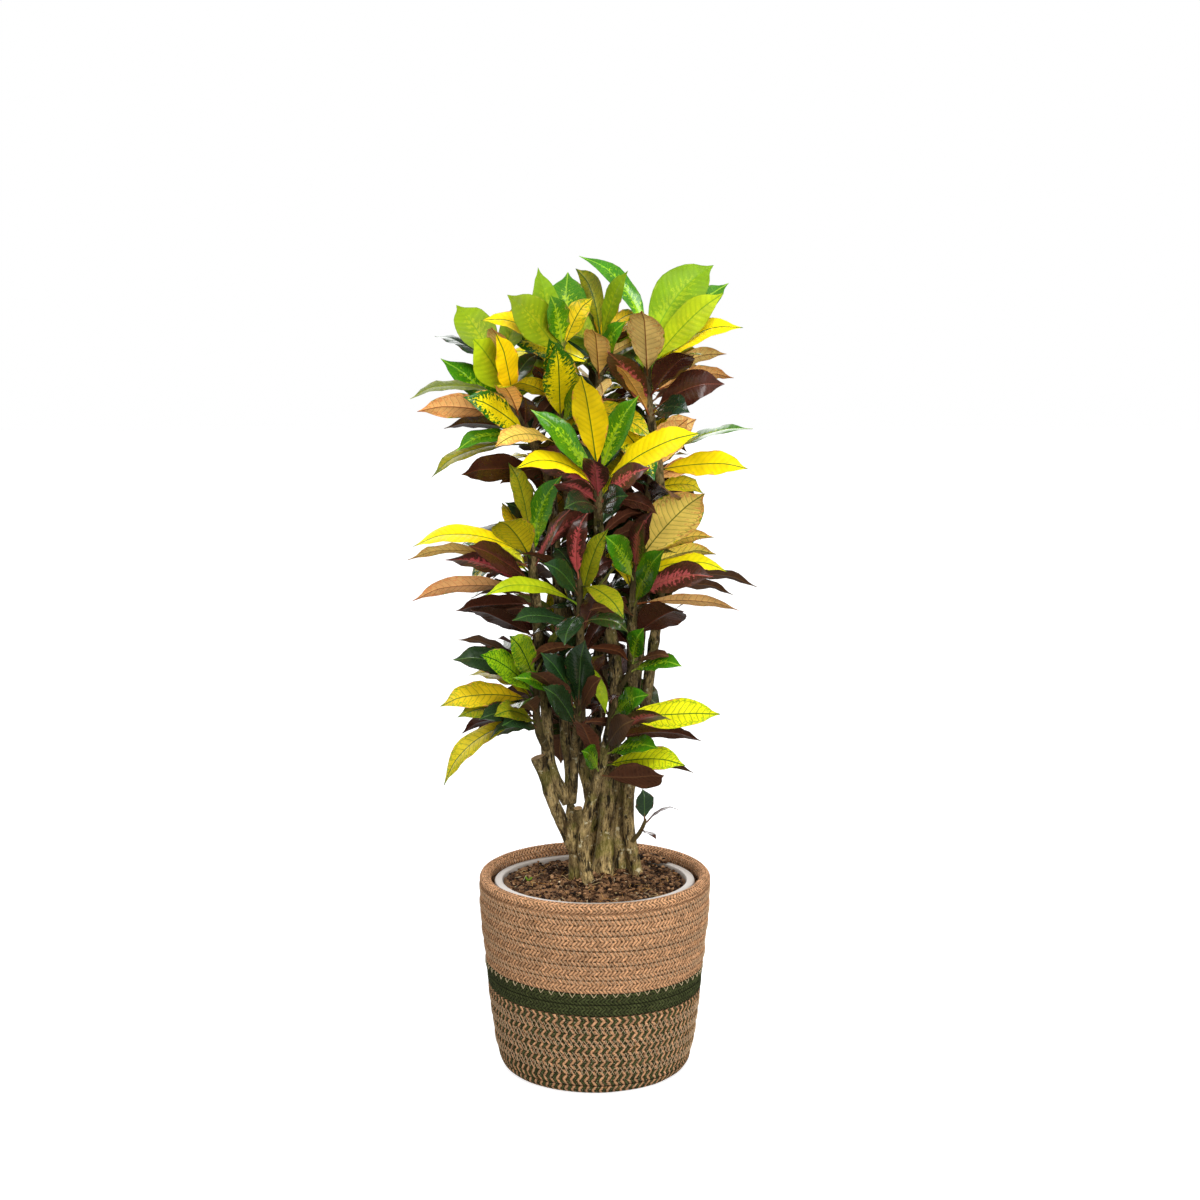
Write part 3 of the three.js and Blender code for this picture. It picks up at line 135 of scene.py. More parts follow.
STEMS = {
    "stem_left": {
        "wood": [
            [*in_soil(-21, 6, 12), [-24, 4, 296, 11], [-30, 2, 337, 10.5], [-34, 0, 356, 10]],
            [[-34, 0, 350, 9], [-51, -4, 380, 8.5], [-60, -4, 412, 8], [-62, -2, 470, 7.5], [-70, -15, 565, 7],
             [-76, -30, 640, 6.5], [-82, -38, 706, 5]],
            [[-33, 1, 352, 7], [-32, 2, 390, 6.5], [-37, 3, 431, 6.5], [-42, 4, 520, 6.5], [-48, 3, 653, 6.5],
             [-57, 0, 769, 6], [-85, -5, 830, 5.5], [-110, -6, 875, 5], [-120, -6, 915, 4]],
            [[-30, -2, 350, 6.5], [-27, -9, 377, 6], [-26, -15, 418, 6], [-22, -34, 455, 5.5],
             [-19, -42, 500, 5.5], [-18, -46, 560, 5.5], [-18, -58, 610, 5], [-18, -62, 655, 4]],
            [[-26, 0, 285, 8.5], [-37, -6, 312, 8.5], [-55, -12, 357, 8], [-63, -14, 384, 8], [-73, -16, 413, 8]],
            [[-60, -5, 418, 5.5], [-72, -30, 455, 5], [-74, -38, 500, 4.5], [-75, -40, 532, 4]],
        ],
        "shoots": [
            Shoot(2, 785, 915, 8, [
                (-172, 990, 40, 905, 50, 20, 4, "lime"), (-125, 965, -35, 882, 38, 140, 6, "tan"),
                (-199, 953, 30, 912, 30, 60, 6, "dark"), (-190, 925, 5, 835, 48, 45, 0, "green"),
                (-149, 944, -66, 868, 56, 20, 6, "bright"), (-118, 949, -68, 856, 38, 40, 4, "yellow"),
                (-233, 877, 10, 872, 34, 70, 12, "grey"), (-224, 858, -40, 840, 42, 140, 10, "tan"),
                (-190, 837, -25, 826, 36, 115, 8, "maroon"), (-158, 874, -95, 822, 40, 35, 6, "vary"),
                (-209, 777, -60, 812, 36, 65, 14, "olive"), (-169, 780, -25, 786, 50, 135, 0, "maroon"),
                (-175, 810, -70, 820, 34, 60, 10, "green"), (-120, 892, -85, 846, 32, 140, 8, "tan"),
                (-88, 880, -50, 832, 38, 140, 6, "maroon"),
            ]),
            Shoot(1, 600, 706, 8, [
                (-105, 791, -40, 702, 36, 45, 4, "olive"), (-45, 773, -66, 660, 38, 42, 14, "green"),
                (-122, 719, -85, 668, 50, 155, 8, "gold"), (-232, 688, -50, 672, 42, 58, 20, "yellow"),
                (-239, 672, -22, 660, 38, 110, 14, "tan"), (-157, 686, -112, 640, 38, 45, 4, "maroon"),
                (-191, 670, -85, 636, 40, 125, 8, "pink"), (-234, 620, -40, 628, 46, 118, 12, "tan"),
                (-35, 734, -95, 656, 26, 62, 2, "pink"), (-178, 604, -60, 614, 40, 125, 2, "maroon"),
                (-158, 607, -50, 566, 40, 125, 2, "maroon"), (-116, 742, -20, 664, 36, 45, 6, "gold"),
            ]),
            Shoot(5, 448, 532, 8, [
                (-173, 568, -20, 528, 30, 112, 8, "brown"), (-181, 541, -60, 518, 44, 42, 8, "dark"),
                (-105, 566, -95, 508, 40, 35, 8, "netted"), (-144, 544, -100, 494, 40, 38, 8, "netted"),
                (-200, 480, -50, 490, 44, 42, 10, "gold"), (-177, 464, -76, 478, 40, 48, 8, "olive"),
                (-198, 371, -50, 464, 38, 50, 24, "gold"), (-125, 468, -112, 458, 34, 55, 8, "olive"),
                (-114, 456, -122, 452, 38, 55, 6, "dark"), (-172, 447, 10, 470, 32, 115, 6, "maroon"),
                (-157, 441, -25, 456, 32, 115, 6, "maroon"), (-140, 436, -62, 452, 36, 120, 8, "dark"),
                (-168, 490, -20, 478, 36, 60, 6, "dark"), (-146, 464, -96, 462, 38, 50, 6, "dark"),
                (-100, 480, -112, 470, 38, 140, 8, "brown"),
            ]),
            Shoot(3, 445, 655, 16, [
                (14, 706, -100, 606, 34, 45, 8, "olive"), (-139, 626, -118, 616, 28, 50, 16, "bright"),
                (-59, 662, -118, 626, 34, 40, 6, "dark"), (17, 467, -78, 556, 22, 45, 4, "lime"),
                (-16, 556, -104, 478, 42, 25, 6, "dark"), (6, 513, -115, 468, 28, 50, 6, "brown"),
                (-103, 515, -112, 478, 28, 50, 10, "green"), (-83, 526, -118, 462, 38, 140, 8, "brown"),
                (37, 595, -134, 642, 29, 35, 10, "olive"), (-103, 593, -122, 590, 34, 55, 6, "dark"),
                (-40, 560, -128, 606, 36, 40, 6, "dark"), (-66, 546, -80, 476, 38, 35, 6, "dark"),
                (10, 549, -85, 496, 36, 140, 6, "maroon"), (-60, 500, -100, 452, 36, 35, 6, "dark"),
                (20, 640, -84, 570, 34, 140, 6, "maroon"),
            ]),
        ],
    },
    "stem_front": {
        "wood": [
            [*in_soil(-10, -17, 8), [-15, -17, 290, 8], [-12, -18, 322, 7.5], [-6, -20, 350, 7.5],
             [3, -24, 382, 7], [12, -31, 420, 6.5], [20, -36, 460, 5.5], [24, -40, 492, 4.5]],
            [[-14, -16, 318, 5.5], [-20, -22, 336, 5], [-21, -25, 348, 5]],
        ],
        "shoots": [
            Shoot(0, 388, 490, 10, [
                (161, 468, -88, 470, 46, 35, 0, "citron"), (101, 466, -115, 450, 34, 125, 6, "pink"),
                (62, 491, -108, 466, 34, 35, 6, "green"), (139, 433, -60, 436, 40, 120, 12, "maroon"),
                (46, 457, -124, 424, 36, 35, 6, "brown"), (116, 401, -92, 402, 42, 42, 8, "citron"),
                (92, 388, -112, 392, 46, 135, -4, "brown"), (129, 393, -32, 408, 32, 115, 6, "brown"),
                (-13, 416, -102, 394, 30, 40, 6, "green"), (-22, 464, -92, 398, 30, 140, 4, "brown"),
                (80, 424, -102, 418, 36, 55, 6, "green"),
            ]),
        ],
    },
    "stem_centre": {
        "wood": [
            [*in_soil(11, 14, 14.5), [14, 12, 296, 11.5], [16, 10, 337, 10], [17, 8, 377, 9.5], [24, 4, 440, 9],
             [27, 0, 491, 8.5], [26, -2, 541, 8.5], [15, 0, 597, 8], [9, 3, 645, 8]],
            [[9, 3, 636, 7], [6, -30, 680, 6.5], [5, -58, 725, 6], [5, -70, 782, 4.5]],
            [[9, 4, 636, 7], [6, 10, 727, 7], [4, 10, 800, 6], [6, 5, 880, 5.5], [8, 0, 948, 4]],
            [[7, 8, 700, 5.5], [14, 3, 716, 5.5], [20, 0, 730, 6]],
            [[28, -2, 494, 4.5], [34, -10, 506, 4], [44, -20, 524, 3.5], [50, -26, 540, 3]],
        ],
        "shoots": [
            Shoot(2, 850, 948, 14, [
                (-18, 1030, 60, 940, 34, 140, 16, "olive"), (38, 1029, -50, 930, 30, 45, 6, "lime"),
                (0, 963, -86, 890, 38, 150, 6, "tan"), (32, 966, -62, 902, 30, 50, 6, "green"),
                (12, 868, -112, 888, 30, 150, 8, "tan"), (22, 1000, 22, 936, 34, 30, 4, "yellow"),
            ]),
            Shoot(1, 720, 782, 4, [
                (-16, 903, -102, 780, 46, 155, 4, "yellow"), (52, 874, -112, 775, 38, 35, 6, "green"),
                (131, 829, -122, 766, 44, 37, 10, "yellow"), (-75, 859, -108, 766, 38, 42, 6, "green"),
                (-100, 787, -110, 760, 40, 60, 20, "yellow"), (-52, 768, -148, 746, 36, 130, 4, "pink"),
                (-35, 734, -160, 738, 36, 40, 8, "dark"), (37, 748, -152, 728, 36, 40, 8, "dark"),
                (-2, 802, -124, 738, 36, 150, 4, "pink"), (65, 785, -122, 742, 34, 40, 6, "pink"),
            ]),
            Shoot(4, 515, 540, 1, [
                (57, 573, -84, 536, 30, 35, 4, "green"), (96, 544, -66, 530, 20, 60, 4, "brown"),
                (109, 533, -84, 524, 30, 50, 6, "green"),
            ]),
        ],
    },
    "stem_right": {
        "wood": [
            [*in_soil(36, 36, 9.5), [34, 32, 296, 9], [33, 29, 329, 9], [39, 26, 350, 8.5], [44, 22, 373, 8.5],
             [50, 16, 430, 8], [50, 8, 490, 8]],
            [[50, 9, 482, 7], [48, -4, 550, 6.5], [48, -18, 600, 6], [52, -32, 668, 4.5]],
            [[50, 9, 480, 7], [58, 14, 550, 6.5], [62, 20, 620, 6], [66, 22, 700, 5.5], [70, 20, 750, 5.5],
             [76, 18, 797, 4]],
            [[33, 30, 318, 6.5], [30, 35, 355, 6.5], [29, 37, 420, 6], [30, 38, 480, 4.5]],
        ],
        "shoots": [
            Shoot(2, 735, 797, 8, [
                (116, 848, -32, 770, 48, 150, 6, "tan"), (124, 845, 62, 786, 46, 150, 6, "tan"),
                (199, 836, 12, 790, 32, 70, 10, "green"), (193, 786, -20, 776, 44, 45, 6, "yellow"),
                (136, 786, -48, 760, 34, 50, 8, "tan"), (140, 757, -32, 750, 36, 55, 8, "gold"),
                (103, 753, -96, 736, 42, 145, 6, "maroon"),
            ]),
            Shoot(1, 585, 668, 6, [
                (140, 754, -88, 664, 64, 160, 6, "tangold"), (58, 714, -96, 652, 34, 50, 4, "pink"),
                (68, 727, -50, 664, 30, 45, 4, "pink"), (18, 695, -110, 640, 38, 35, 6, "green"),
                (83, 677, -116, 604, 38, 42, 6, "green"), (170, 655, -42, 646, 38, 60, 14, "yellow"),
                (208, 638, 10, 638, 30, 115, 12, "brown"), (178, 627, -30, 628, 34, 115, 10, "brown"),
                (147, 648, -90, 622, 44, 40, 8, "pink"), (116, 606, -112, 566, 52, 145, 6, "maroon"),
                (154, 680, 30, 654, 36, 120, 8, "tangold"), (150, 700, 40, 668, 34, 120, 8, "tangold"),
                (185, 604, -60, 612, 30, 120, 8, "tan"),
            ]),
        ],
    },
    "stem_far_right": {
        "wood": [
            [*in_soil(55, 16, 8), [48, 14, 283, 8], [44, 10, 322, 7.5], [44, 4, 357, 7.5], [50, -2, 400, 7.5],
             [62, -10, 460, 7], [70, -14, 520, 7], [78, -8, 580, 6.5], [86, 0, 650, 6.5], [86, 4, 720, 6],
             [80, -2, 790, 6], [70, -6, 850, 5.5], [66, -6, 900, 5], [68, -6, 932, 4]],
            [[46, 12, 292, 3.5], [55, 2, 303, 3], [62, -8, 318, 2.5], [66, -12, 330, 2.5]],
        ],
        "shoots": [
            Shoot(0, 840, 932, 8, [
                (148, 1039, 20, 926, 64, 20, 14, "lime"), (-17, 1053, 10, 930, 36, 50, 20, "green"),
                (167, 1018, 52, 915, 42, 30, 6, "green"), (159, 1003, -22, 906, 44, 30, 6, "bright"),
                (184, 964, -50, 886, 40, 55, 22, "yellow"), (164, 930, 22, 890, 36, 120, 8, "tan"),
                (175, 903, -20, 876, 38, 125, 8, "tan"), (61, 986, -76, 893, 49, 160, 6, "tan"),
                (125, 931, -76, 870, 46, 140, 8, "maroon"), (159, 891, -62, 852, 46, 30, 10, "maroon"),
                (28, 916, -96, 846, 30, 120, 4, "tan"), (115, 857, -92, 848, 36, 45, 8, "spotted"),
                (17, 934, -70, 850, 42, 145, 4, "pink"),
            ]),
            Shoot(1, 312, 330, 0, [
                (64, 366, -14, 326, 28, 30, 0, "dark"), (109, 344, -16, 318, 8, 60, 8, "maroon"),
                (80, 304, -20, 314, 10, 60, 0, "maroon"),
            ]),
        ],
    },
    "stem_back_left": {
        "wood": [
            [*in_soil(-3, 42, 8.5), [-3, 37, 310, 8], [-6, 35, 350, 8], [-17, 34, 400, 7.5], [-20, 31, 520, 7.5],
             [-20, 26, 600, 7], [-22, 20, 667, 6.5], [-32, 16, 732, 6], [-42, -4, 820, 5.5], [-44, -16, 880, 5],
             [-38, -18, 938, 4]],
            [[-18, 28, 552, 6], [-45, 50, 620, 5.5], [-62, 68, 690, 5], [-66, 74, 735, 4]],
            [[-17, 34, 415, 6], [-34, 56, 465, 5.5], [-44, 66, 510, 5], [-48, 70, 548, 4]],
        ],
        "shoots": [
            Shoot(0, 826, 938, 14, [
                (-66, 1034, 22, 932, 42, 40, -10, "lime"), (-104, 999, -70, 922, 52, 22, 4, "lime"),
                (-34, 1030, 42, 934, 56, 15, -4, "green"), (-52, 998, -62, 930, 36, 35, 4, "green"),
                (-141, 971, -42, 914, 42, 60, 18, "yellow"), (-6, 998, -32, 926, 36, 40, 4, "gold"),
                (-53, 941, -82, 862, 38, 30, 6, "vary"), (-46, 935, -98, 836, 46, 25, 6, "vary"),
                (-12, 889, -92, 834, 30, 40, 4, "green"), (-109, 892, -72, 858, 36, 130, 8, "gold"),
                (-75, 915, -50, 850, 36, 140, 6, "maroon"), (-126, 812, -72, 808, 38, 60, 16, "tangold"),
            ]),
            Shoot(1, 640, 735, 26, []),
            Shoot(2, 460, 548, 20, [
                (-46, 398, 55, 476, 40, 20, 4, "brown"),
            ]),
        ],
    },
    "stem_back_right": {
        "wood": [
            [*in_soil(20, 58, 8.5), [13, 56, 310, 8], [1, 58, 375, 7.5], [2, 60, 440, 7.5], [6, 64, 560, 7],
             [0, 72, 660, 6.5], [-6, 78, 760, 6], [-4, 80, 860, 5.5], [-2, 82, 930, 4]],
            [[2, 59, 420, 6], [10, 80, 455, 5.5], [12, 92, 510, 5], [12, 96, 545, 4]],
            [[6, 66, 575, 6], [34, 80, 640, 5.5], [56, 88, 700, 5], [62, 92, 745, 4]],
            [[-4, 77, 740, 6], [30, 72, 800, 5.5], [46, 66, 860, 5], [50, 66, 895, 4]],
        ],
        "shoots": [
            Shoot(0, 830, 930, 24, []),
            Shoot(1, 455, 545, 24, []),
            Shoot(2, 650, 745, 24, []),
            Shoot(3, 800, 895, 20, []),
        ],
    },
}

# Wood paths, by stem and number, that end in a sawn face.
SAWN_ENDS = {"stem_left": (4,), "stem_centre": (3,), "stem_front": (1,)}

# What one side of a blade shows: base colour, colour of its patches, colour of its midrib and
# veins (sRGB, 0 to 255), share of patches, whether patches keep to the margin (above 0) or to the
# midrib (below 0), strength of the side veins, strength of the fine net, and roughness.
Face = namedtuple("Face", "base patch vein patches bias veins net roughness")

GOLDEN_UPPER = Face((222, 194, 24), (122, 148, 24), (58, 104, 22), 0.4, 0.5, 0.3, 0.1, 0.3)
DARK_UNDER = Face((84, 50, 36), (100, 64, 42), (118, 84, 56), 0.35, 0.0, 0.4, 0.1, 0.5)

LOOKS = {
    "lime": (Face((118, 146, 14), (148, 164, 20), (116, 148, 20), 0.42, -0.9, 0.22, 0.05, 0.45),
             Face((140, 158, 38), (160, 170, 46), (114, 142, 34), 0.35, -0.5, 0.25, 0.05, 0.5)),
    "bright": (Face((178, 192, 24), (196, 200, 30), (126, 158, 24), 0.4, -0.6, 0.2, 0.05, 0.42),
               Face((176, 188, 40), (190, 194, 48), (120, 150, 34), 0.35, -0.5, 0.25, 0.05, 0.5)),
    "green": (Face((56, 116, 12), (150, 184, 22), (128, 172, 36), 0.4, -0.9, 0.3, 0.08, 0.2),
              Face((104, 118, 40), (128, 120, 48), (150, 160, 70), 0.35, 0.0, 0.5, 0.3, 0.5)),
    "dark": (Face((32, 56, 30), (40, 74, 28), (62, 96, 42), 0.3, -0.3, 0.3, 0.08, 0.2),
             DARK_UNDER),
    "yellow": (Face((238, 214, 14), (176, 190, 10), (72, 116, 20), 0.14, 0.5, 0.1, 0.0, 0.38),
               Face((228, 170, 62), (208, 136, 48), (92, 104, 34), 0.35, 0.0, 0.35, 0.05, 0.5)),
    "citron": (Face((222, 224, 26), (160, 190, 24), (44, 104, 24), 0.36, 0.4, 0.7, 0.0, 0.34),
               Face((206, 158, 74), (184, 130, 56), (96, 104, 38), 0.35, 0.0, 0.5, 0.1, 0.5)),
    "gold": (Face((216, 194, 26), (148, 162, 22), (78, 108, 24), 0.36, 0.4, 0.6, 0.05, 0.34),
             Face((206, 158, 70), (184, 130, 52), (96, 104, 38), 0.35, 0.0, 0.5, 0.1, 0.5)),
    "olive": (Face((142, 140, 20), (92, 116, 18), (60, 90, 20), 0.4, 0.2, 0.5, 0.1, 0.34),
              Face((150, 120, 50), (128, 96, 44), (86, 90, 38), 0.35, 0.0, 0.5, 0.1, 0.5)),
    "netted": (Face((150, 186, 22), (70, 128, 18), (24, 84, 18), 0.44, 0.2, 0.9, 0.1, 0.24),
               Face((150, 140, 60), (120, 110, 50), (60, 90, 34), 0.35, 0.0, 0.6, 0.1, 0.5)),
    "vary": (Face((232, 218, 16), (36, 98, 16), (34, 98, 18), 0.42, 0.9, 0.14, 0.0, 0.26),
             Face((206, 168, 66), (176, 134, 50), (84, 104, 36), 0.35, 0.0, 0.4, 0.1, 0.5)),
    "tan": (GOLDEN_UPPER,
            Face((250, 200, 122), (232, 162, 94), (150, 88, 50), 0.36, 0.5, 0.45, 0.04, 0.48)),
    "tangold": (GOLDEN_UPPER,
                Face((244, 212, 98), (230, 168, 86), (108, 112, 36), 0.32, 0.8, 0.6, 0.04, 0.44)),
    "maroon": (Face((66, 34, 24), (48, 30, 18), (98, 52, 38), 0.35, 0.2, 0.2, 0.05, 0.26),
               Face((84, 48, 32), (102, 62, 38), (120, 76, 50), 0.4, 0.0, 0.25, 0.05, 0.46)),
    "pink": (Face((66, 36, 24), (196, 84, 86), (166, 76, 68), 0.46, -1.3, 0.25, 0.05, 0.3),
             Face((96, 54, 38), (186, 92, 84), (160, 92, 70), 0.42, -1.0, 0.3, 0.05, 0.46)),
    "brown": (Face((44, 62, 22), (76, 42, 26), (92, 102, 44), 0.4, 0.0, 0.3, 0.05, 0.24),
              Face((92, 58, 38), (70, 42, 28), (124, 88, 54), 0.42, 0.0, 0.4, 0.1, 0.44)),
    # grey: painted sheen, the green of a leaf lightened towards grey as one seen edge-on in gloss.
    "grey": (Face((92, 110, 26), (122, 138, 34), (140, 156, 60), 0.4, 0.0, 0.4, 0.05, 0.4),
             Face((128, 132, 66), (140, 126, 60), (152, 160, 84), 0.35, 0.0, 0.4, 0.05, 0.45)),
    "spotted": (Face((22, 50, 28), (228, 150, 110), (52, 80, 44), 0.2, -0.4, 0.3, 0.0, 0.22),
                DARK_UNDER),
}
GLOSSY = 0.31  # faces smoother than this have the glossy finish
# Looks that name the colour of a leaf's lower side; the others name the colour of its upper side.
UNDER_LOOKS = ("tan", "tangold", "brown")
# Looks of the leaves that fill the plant, from the height of their feet up.
FILL_LOOKS = (
    (850, ("lime", "lime", "green", "yellow", "vary", "tan")),
    (760, ("yellow", "vary", "green", "tan", "maroon", "gold", "dark")),
    (640, ("gold", "tan", "green", "maroon", "pink", "vary", "brown")),
    (560, ("maroon", "brown", "dark", "pink", "gold", "green")),
    (0, ("dark", "brown", "maroon", "dark", "green", "gold")),
)

INNER_TRIES = 12  # how many places are tried for each inner leaf
INNER_FORWARD = 30  # how far its tip may come forward of its foot
# Small shaded leaves that close the middle of the plant: stem, wood path, lowest and highest
# foot, how many, and their looks.
INNER_LEAVES = (
    ("stem_left", 2, 770, 900, 10, ("dark", "maroon", "brown")),
    ("stem_left", 2, 470, 740, 16, ("dark", "maroon", "brown", "dark")),
    ("stem_left", 1, 600, 700, 8, ("maroon", "brown", "dark")),
    ("stem_left", 3, 440, 650, 18, ("dark", "brown", "dark", "maroon")),
    ("stem_centre", 0, 440, 640, 18, ("dark", "maroon", "dark", "brown")),
    ("stem_centre", 2, 800, 940, 14, ("maroon", "dark", "brown", "tan")),
    ("stem_centre", 2, 650, 790, 12, ("maroon", "dark", "brown", "pink")),
    ("stem_centre", 1, 690, 780, 10, ("maroon", "dark", "brown")),
    ("stem_right", 2, 690, 797, 10, ("maroon", "brown", "dark")),
    ("stem_right", 1, 500, 665, 16, ("maroon", "brown", "dark")),
    ("stem_far_right", 0, 800, 928, 12, ("maroon", "brown", "dark")),
    ("stem_far_right", 0, 520, 790, 18, ("maroon", "dark", "brown")),
    ("stem_back_left", 0, 770, 930, 14, ("green", "maroon", "tan", "dark")),
    ("stem_back_left", 0, 430, 740, 22, ("dark", "brown", "maroon", "dark")),
    ("stem_back_left", 1, 600, 735, 8, ("dark", "brown", "green")),
    ("stem_back_left", 2, 440, 548, 8, ("dark", "brown")),
    ("stem_back_right", 0, 760, 925, 12, ("green", "maroon", "dark", "tan")),
    ("stem_back_right", 0, 420, 740, 26, ("dark", "maroon", "brown")),
    ("stem_back_right", 1, 440, 545, 8, ("dark", "brown")),
    ("stem_back_right", 2, 610, 745, 10, ("dark", "brown", "maroon")),
    ("stem_back_right", 3, 760, 895, 10, ("green", "maroon", "dark")),
)

# ---------------------------------------------------------------- numbers


def read_table(table, at):
    """Linear reading of (position, value) pairs, for one number or an array."""
    positions, values = zip(*table)
    return np.interp(at, positions, values)


def random_numbers(seed):
    """Repeatable random numbers from 0 to 1, the same as the CAD model's."""
    factor, prime = 16807, 2147483647
    state = seed
    while True:
        state = (state * factor) % prime
        yield state / prime


def smooth_step(low, high, value):
    share = np.clip((value - low) / (high - low), 0, 1)
    return share * share * (3 - 2 * share)


def noise(points, size, seed=0):
    """Smooth random field from -1 to 1 over points, with bumps of about the given size."""
    at = np.asarray(points, float) / size + seed * 7.31 + 1000
    cell = np.floor(at).astype(np.int64)
    inside = at - cell
    inside = inside * inside * (3 - 2 * inside)
    total = np.zeros(len(at))
    for corner in range(8):
        step = np.array([corner & 1, corner >> 1 & 1, corner >> 2 & 1])
        x, y, z = (cell + step).T
        # One random number from the three numbers of a lattice corner.
        key = (x * 73856093 ^ y * 19349663 ^ z * 83492791) & 0x7FFFFFFF
        key = ((key ^ key >> 13) * 1274126177) & 0x7FFFFFFF
        key = ((key ^ key >> 15) * 1911520717) & 0x7FFFFFFF
        weight = np.prod(np.where(step, inside, 1 - inside), axis=1)
        total += weight * (key / 0x7FFFFFFF)
    return 2 * total - 1


def pick(chance, choices):
    return choices[int(next(chance) * len(choices))]


def unit(vectors):
    vectors = np.asarray(vectors, float)
    return vectors / np.linalg.norm(vectors, axis=-1, keepdims=True)


def stacked(*parts):
    """Numbers or grids of numbers, side by side as vectors."""
    return np.stack(np.broadcast_arrays(*parts), axis=-1)


def linear(colour):
    """sRGB colour, 0 to 255, as linear light."""
    share = np.asarray(colour, float) / 255
    return np.where(share <= 0.04045, share / 12.92, ((share + 0.055) / 1.055) ** 2.4)


# ---------------------------------------------------------------- meshes


class Heap:
    """Vertices, faces and vector attributes of either, gathered piece by piece into one mesh."""

    def __init__(self, **domains):
        self.domains = domains
        self.points = []
        self.faces = []
        self.materials = []
        self.values = {name: [] for name in domains}
        self.sharp = []
        self.count = 0

    def add(self, points, faces, material=0, sharp=None, **values):
        """Faces come as arrays that hold the point numbers of one face in each row."""
        points = np.asarray(points, float).reshape(-1, 3)
        faces = [np.asarray(f, np.int64) for f in faces]
        total = sum(len(f) for f in faces)
        self.points.append(points)
        self.faces += [f + self.count for f in faces]
        self.materials.append(np.full(total, material))
        self.sharp.append(np.zeros(len(points), bool) if sharp is None else sharp)
        for name, domain in self.domains.items():
            size = total if domain == "FACE" else len(points)
            given = np.asarray(values.get(name, (0, 0, 0)), float).reshape(-1, 3)
            self.values[name].append(np.broadcast_to(given, (size, 3)))
        self.count += len(points)

    def make(self, name, materials):
        mesh = bpy.data.meshes.new(name)
        points = np.concatenate(self.points) * MM
        mesh.vertices.add(len(points))
        mesh.vertices.foreach_set("co", points.astype(np.float32).ravel())
        sizes = np.concatenate([np.full(len(f), f.shape[1]) for f in self.faces])
        corners = np.concatenate([f.ravel() for f in self.faces])
        mesh.loops.add(len(corners))
        mesh.loops.foreach_set("vertex_index", corners.astype(np.int32))
        mesh.polygons.add(len(sizes))
        starts = np.concatenate([[0], np.cumsum(sizes)[:-1]])
        mesh.polygons.foreach_set("loop_start", starts.astype(np.int32))
        mesh.polygons.foreach_set("material_index", np.concatenate(self.materials).astype(np.int32))
        mesh.polygons.foreach_set("use_smooth", np.ones(len(sizes), bool))
        mesh.update(calc_edges=True)
        for attribute, domain in self.domains.items():
            data = np.concatenate(self.values[attribute]).astype(np.float32)
            mesh.attributes.new(attribute, "FLOAT_VECTOR", domain).data.foreach_set("vector", data.ravel())
        sharp = np.concatenate(self.sharp)
        if sharp.any():
            ends = np.zeros(len(mesh.edges) * 2, np.int32)
            mesh.edges.foreach_get("vertices", ends)
            marks = sharp[ends].reshape(-1, 2).all(axis=1)
            mesh.attributes.new("sharp_edge", "BOOLEAN", "EDGE").data.foreach_set("value", marks)
        for material in materials:
            mesh.materials.append(material)
        piece = bpy.data.objects.new(name, mesh)
        bpy.context.scene.collection.objects.link(piece)
        return piece


def grid_faces(rows, columns, wrapped=False):
    """Quads of a grid of points; a wrapped one joins its last column to its first."""
    row = np.arange(rows - 1)[:, None]
    column = np.arange(columns if wrapped else columns - 1)[None, :]
    right = (column + 1) % columns
    corners = stacked(row * columns + column, row * columns + right,
                      (row + 1) * columns + right, (row + 1) * columns + column)
    return corners.reshape(-1, 4)


def end_fans(rows, columns):
    """Triangles that close a wrapped grid at both ends, on two points that follow it."""
    side = np.arange(columns)
    beside = (side + 1) % columns
    last = (rows - 1) * columns
    return stacked(rows * columns, beside, side), stacked(rows * columns + 1, last + side, last + beside)


def tube_mesh(line, radii, sides):
    """Points and faces of a closed tube along a line."""
    line = np.asarray(line, float)
    along = unit(np.gradient(line, axis=0))
    helper = np.where(np.abs(along[:, 2:]) < 0.9, [[0, 0, 1.0]], [[0, 1.0, 0]])
    if np.abs(along[:, 2]).mean() > 0.5:
        helper = np.broadcast_to([[0, 1.0, 0]], line.shape)
    right = unit(np.cross(helper, along))
    front = np.cross(along, right)
    angle = np.linspace(0, 2 * math.pi, sides, endpoint=False)
    around = right[:, None] * np.cos(angle)[None, :, None] + front[:, None] * np.sin(angle)[None, :, None]
    rings = line[:, None] + around * np.asarray(radii, float)[:, None, None]
    points = np.concatenate([rings.reshape(-1, 3), line[:1], line[-1:]])
    return points, [grid_faces(len(line), sides, wrapped=True), np.concatenate(end_fans(len(line), sides))]


def smooth_line(path, spacing):
    """A rounded line through points of [x, y, z, radius], at an even spacing."""
    knots = np.asarray(path, float)
    padded = np.concatenate([2 * knots[:1] - knots[1:2], knots, 2 * knots[-1:] - knots[-2:-1]])
    samples = []
    for i in range(1, len(padded) - 2):
        before, start, end, after = padded[i - 1:i + 3]
        gap = np.linalg.norm(end[:3] - start[:3])
        t = np.linspace(0, 1, max(2, int(gap / spacing)), endpoint=False)[:, None]
        into = 0.5 * (end - before) * min(1, gap / np.linalg.norm((end - before)[:3]) * 2)
        out_of = 0.5 * (after - start) * min(1, gap / np.linalg.norm((after - start)[:3]) * 2)
        samples.append(start * (2 * t**3 - 3 * t**2 + 1) + end * (3 * t**2 - 2 * t**3)
                       + into * (t**3 - 2 * t**2 + t) + out_of * (t**3 - t**2))
    return np.concatenate([*samples, knots[-1:]])


# ---------------------------------------------------------------- materials


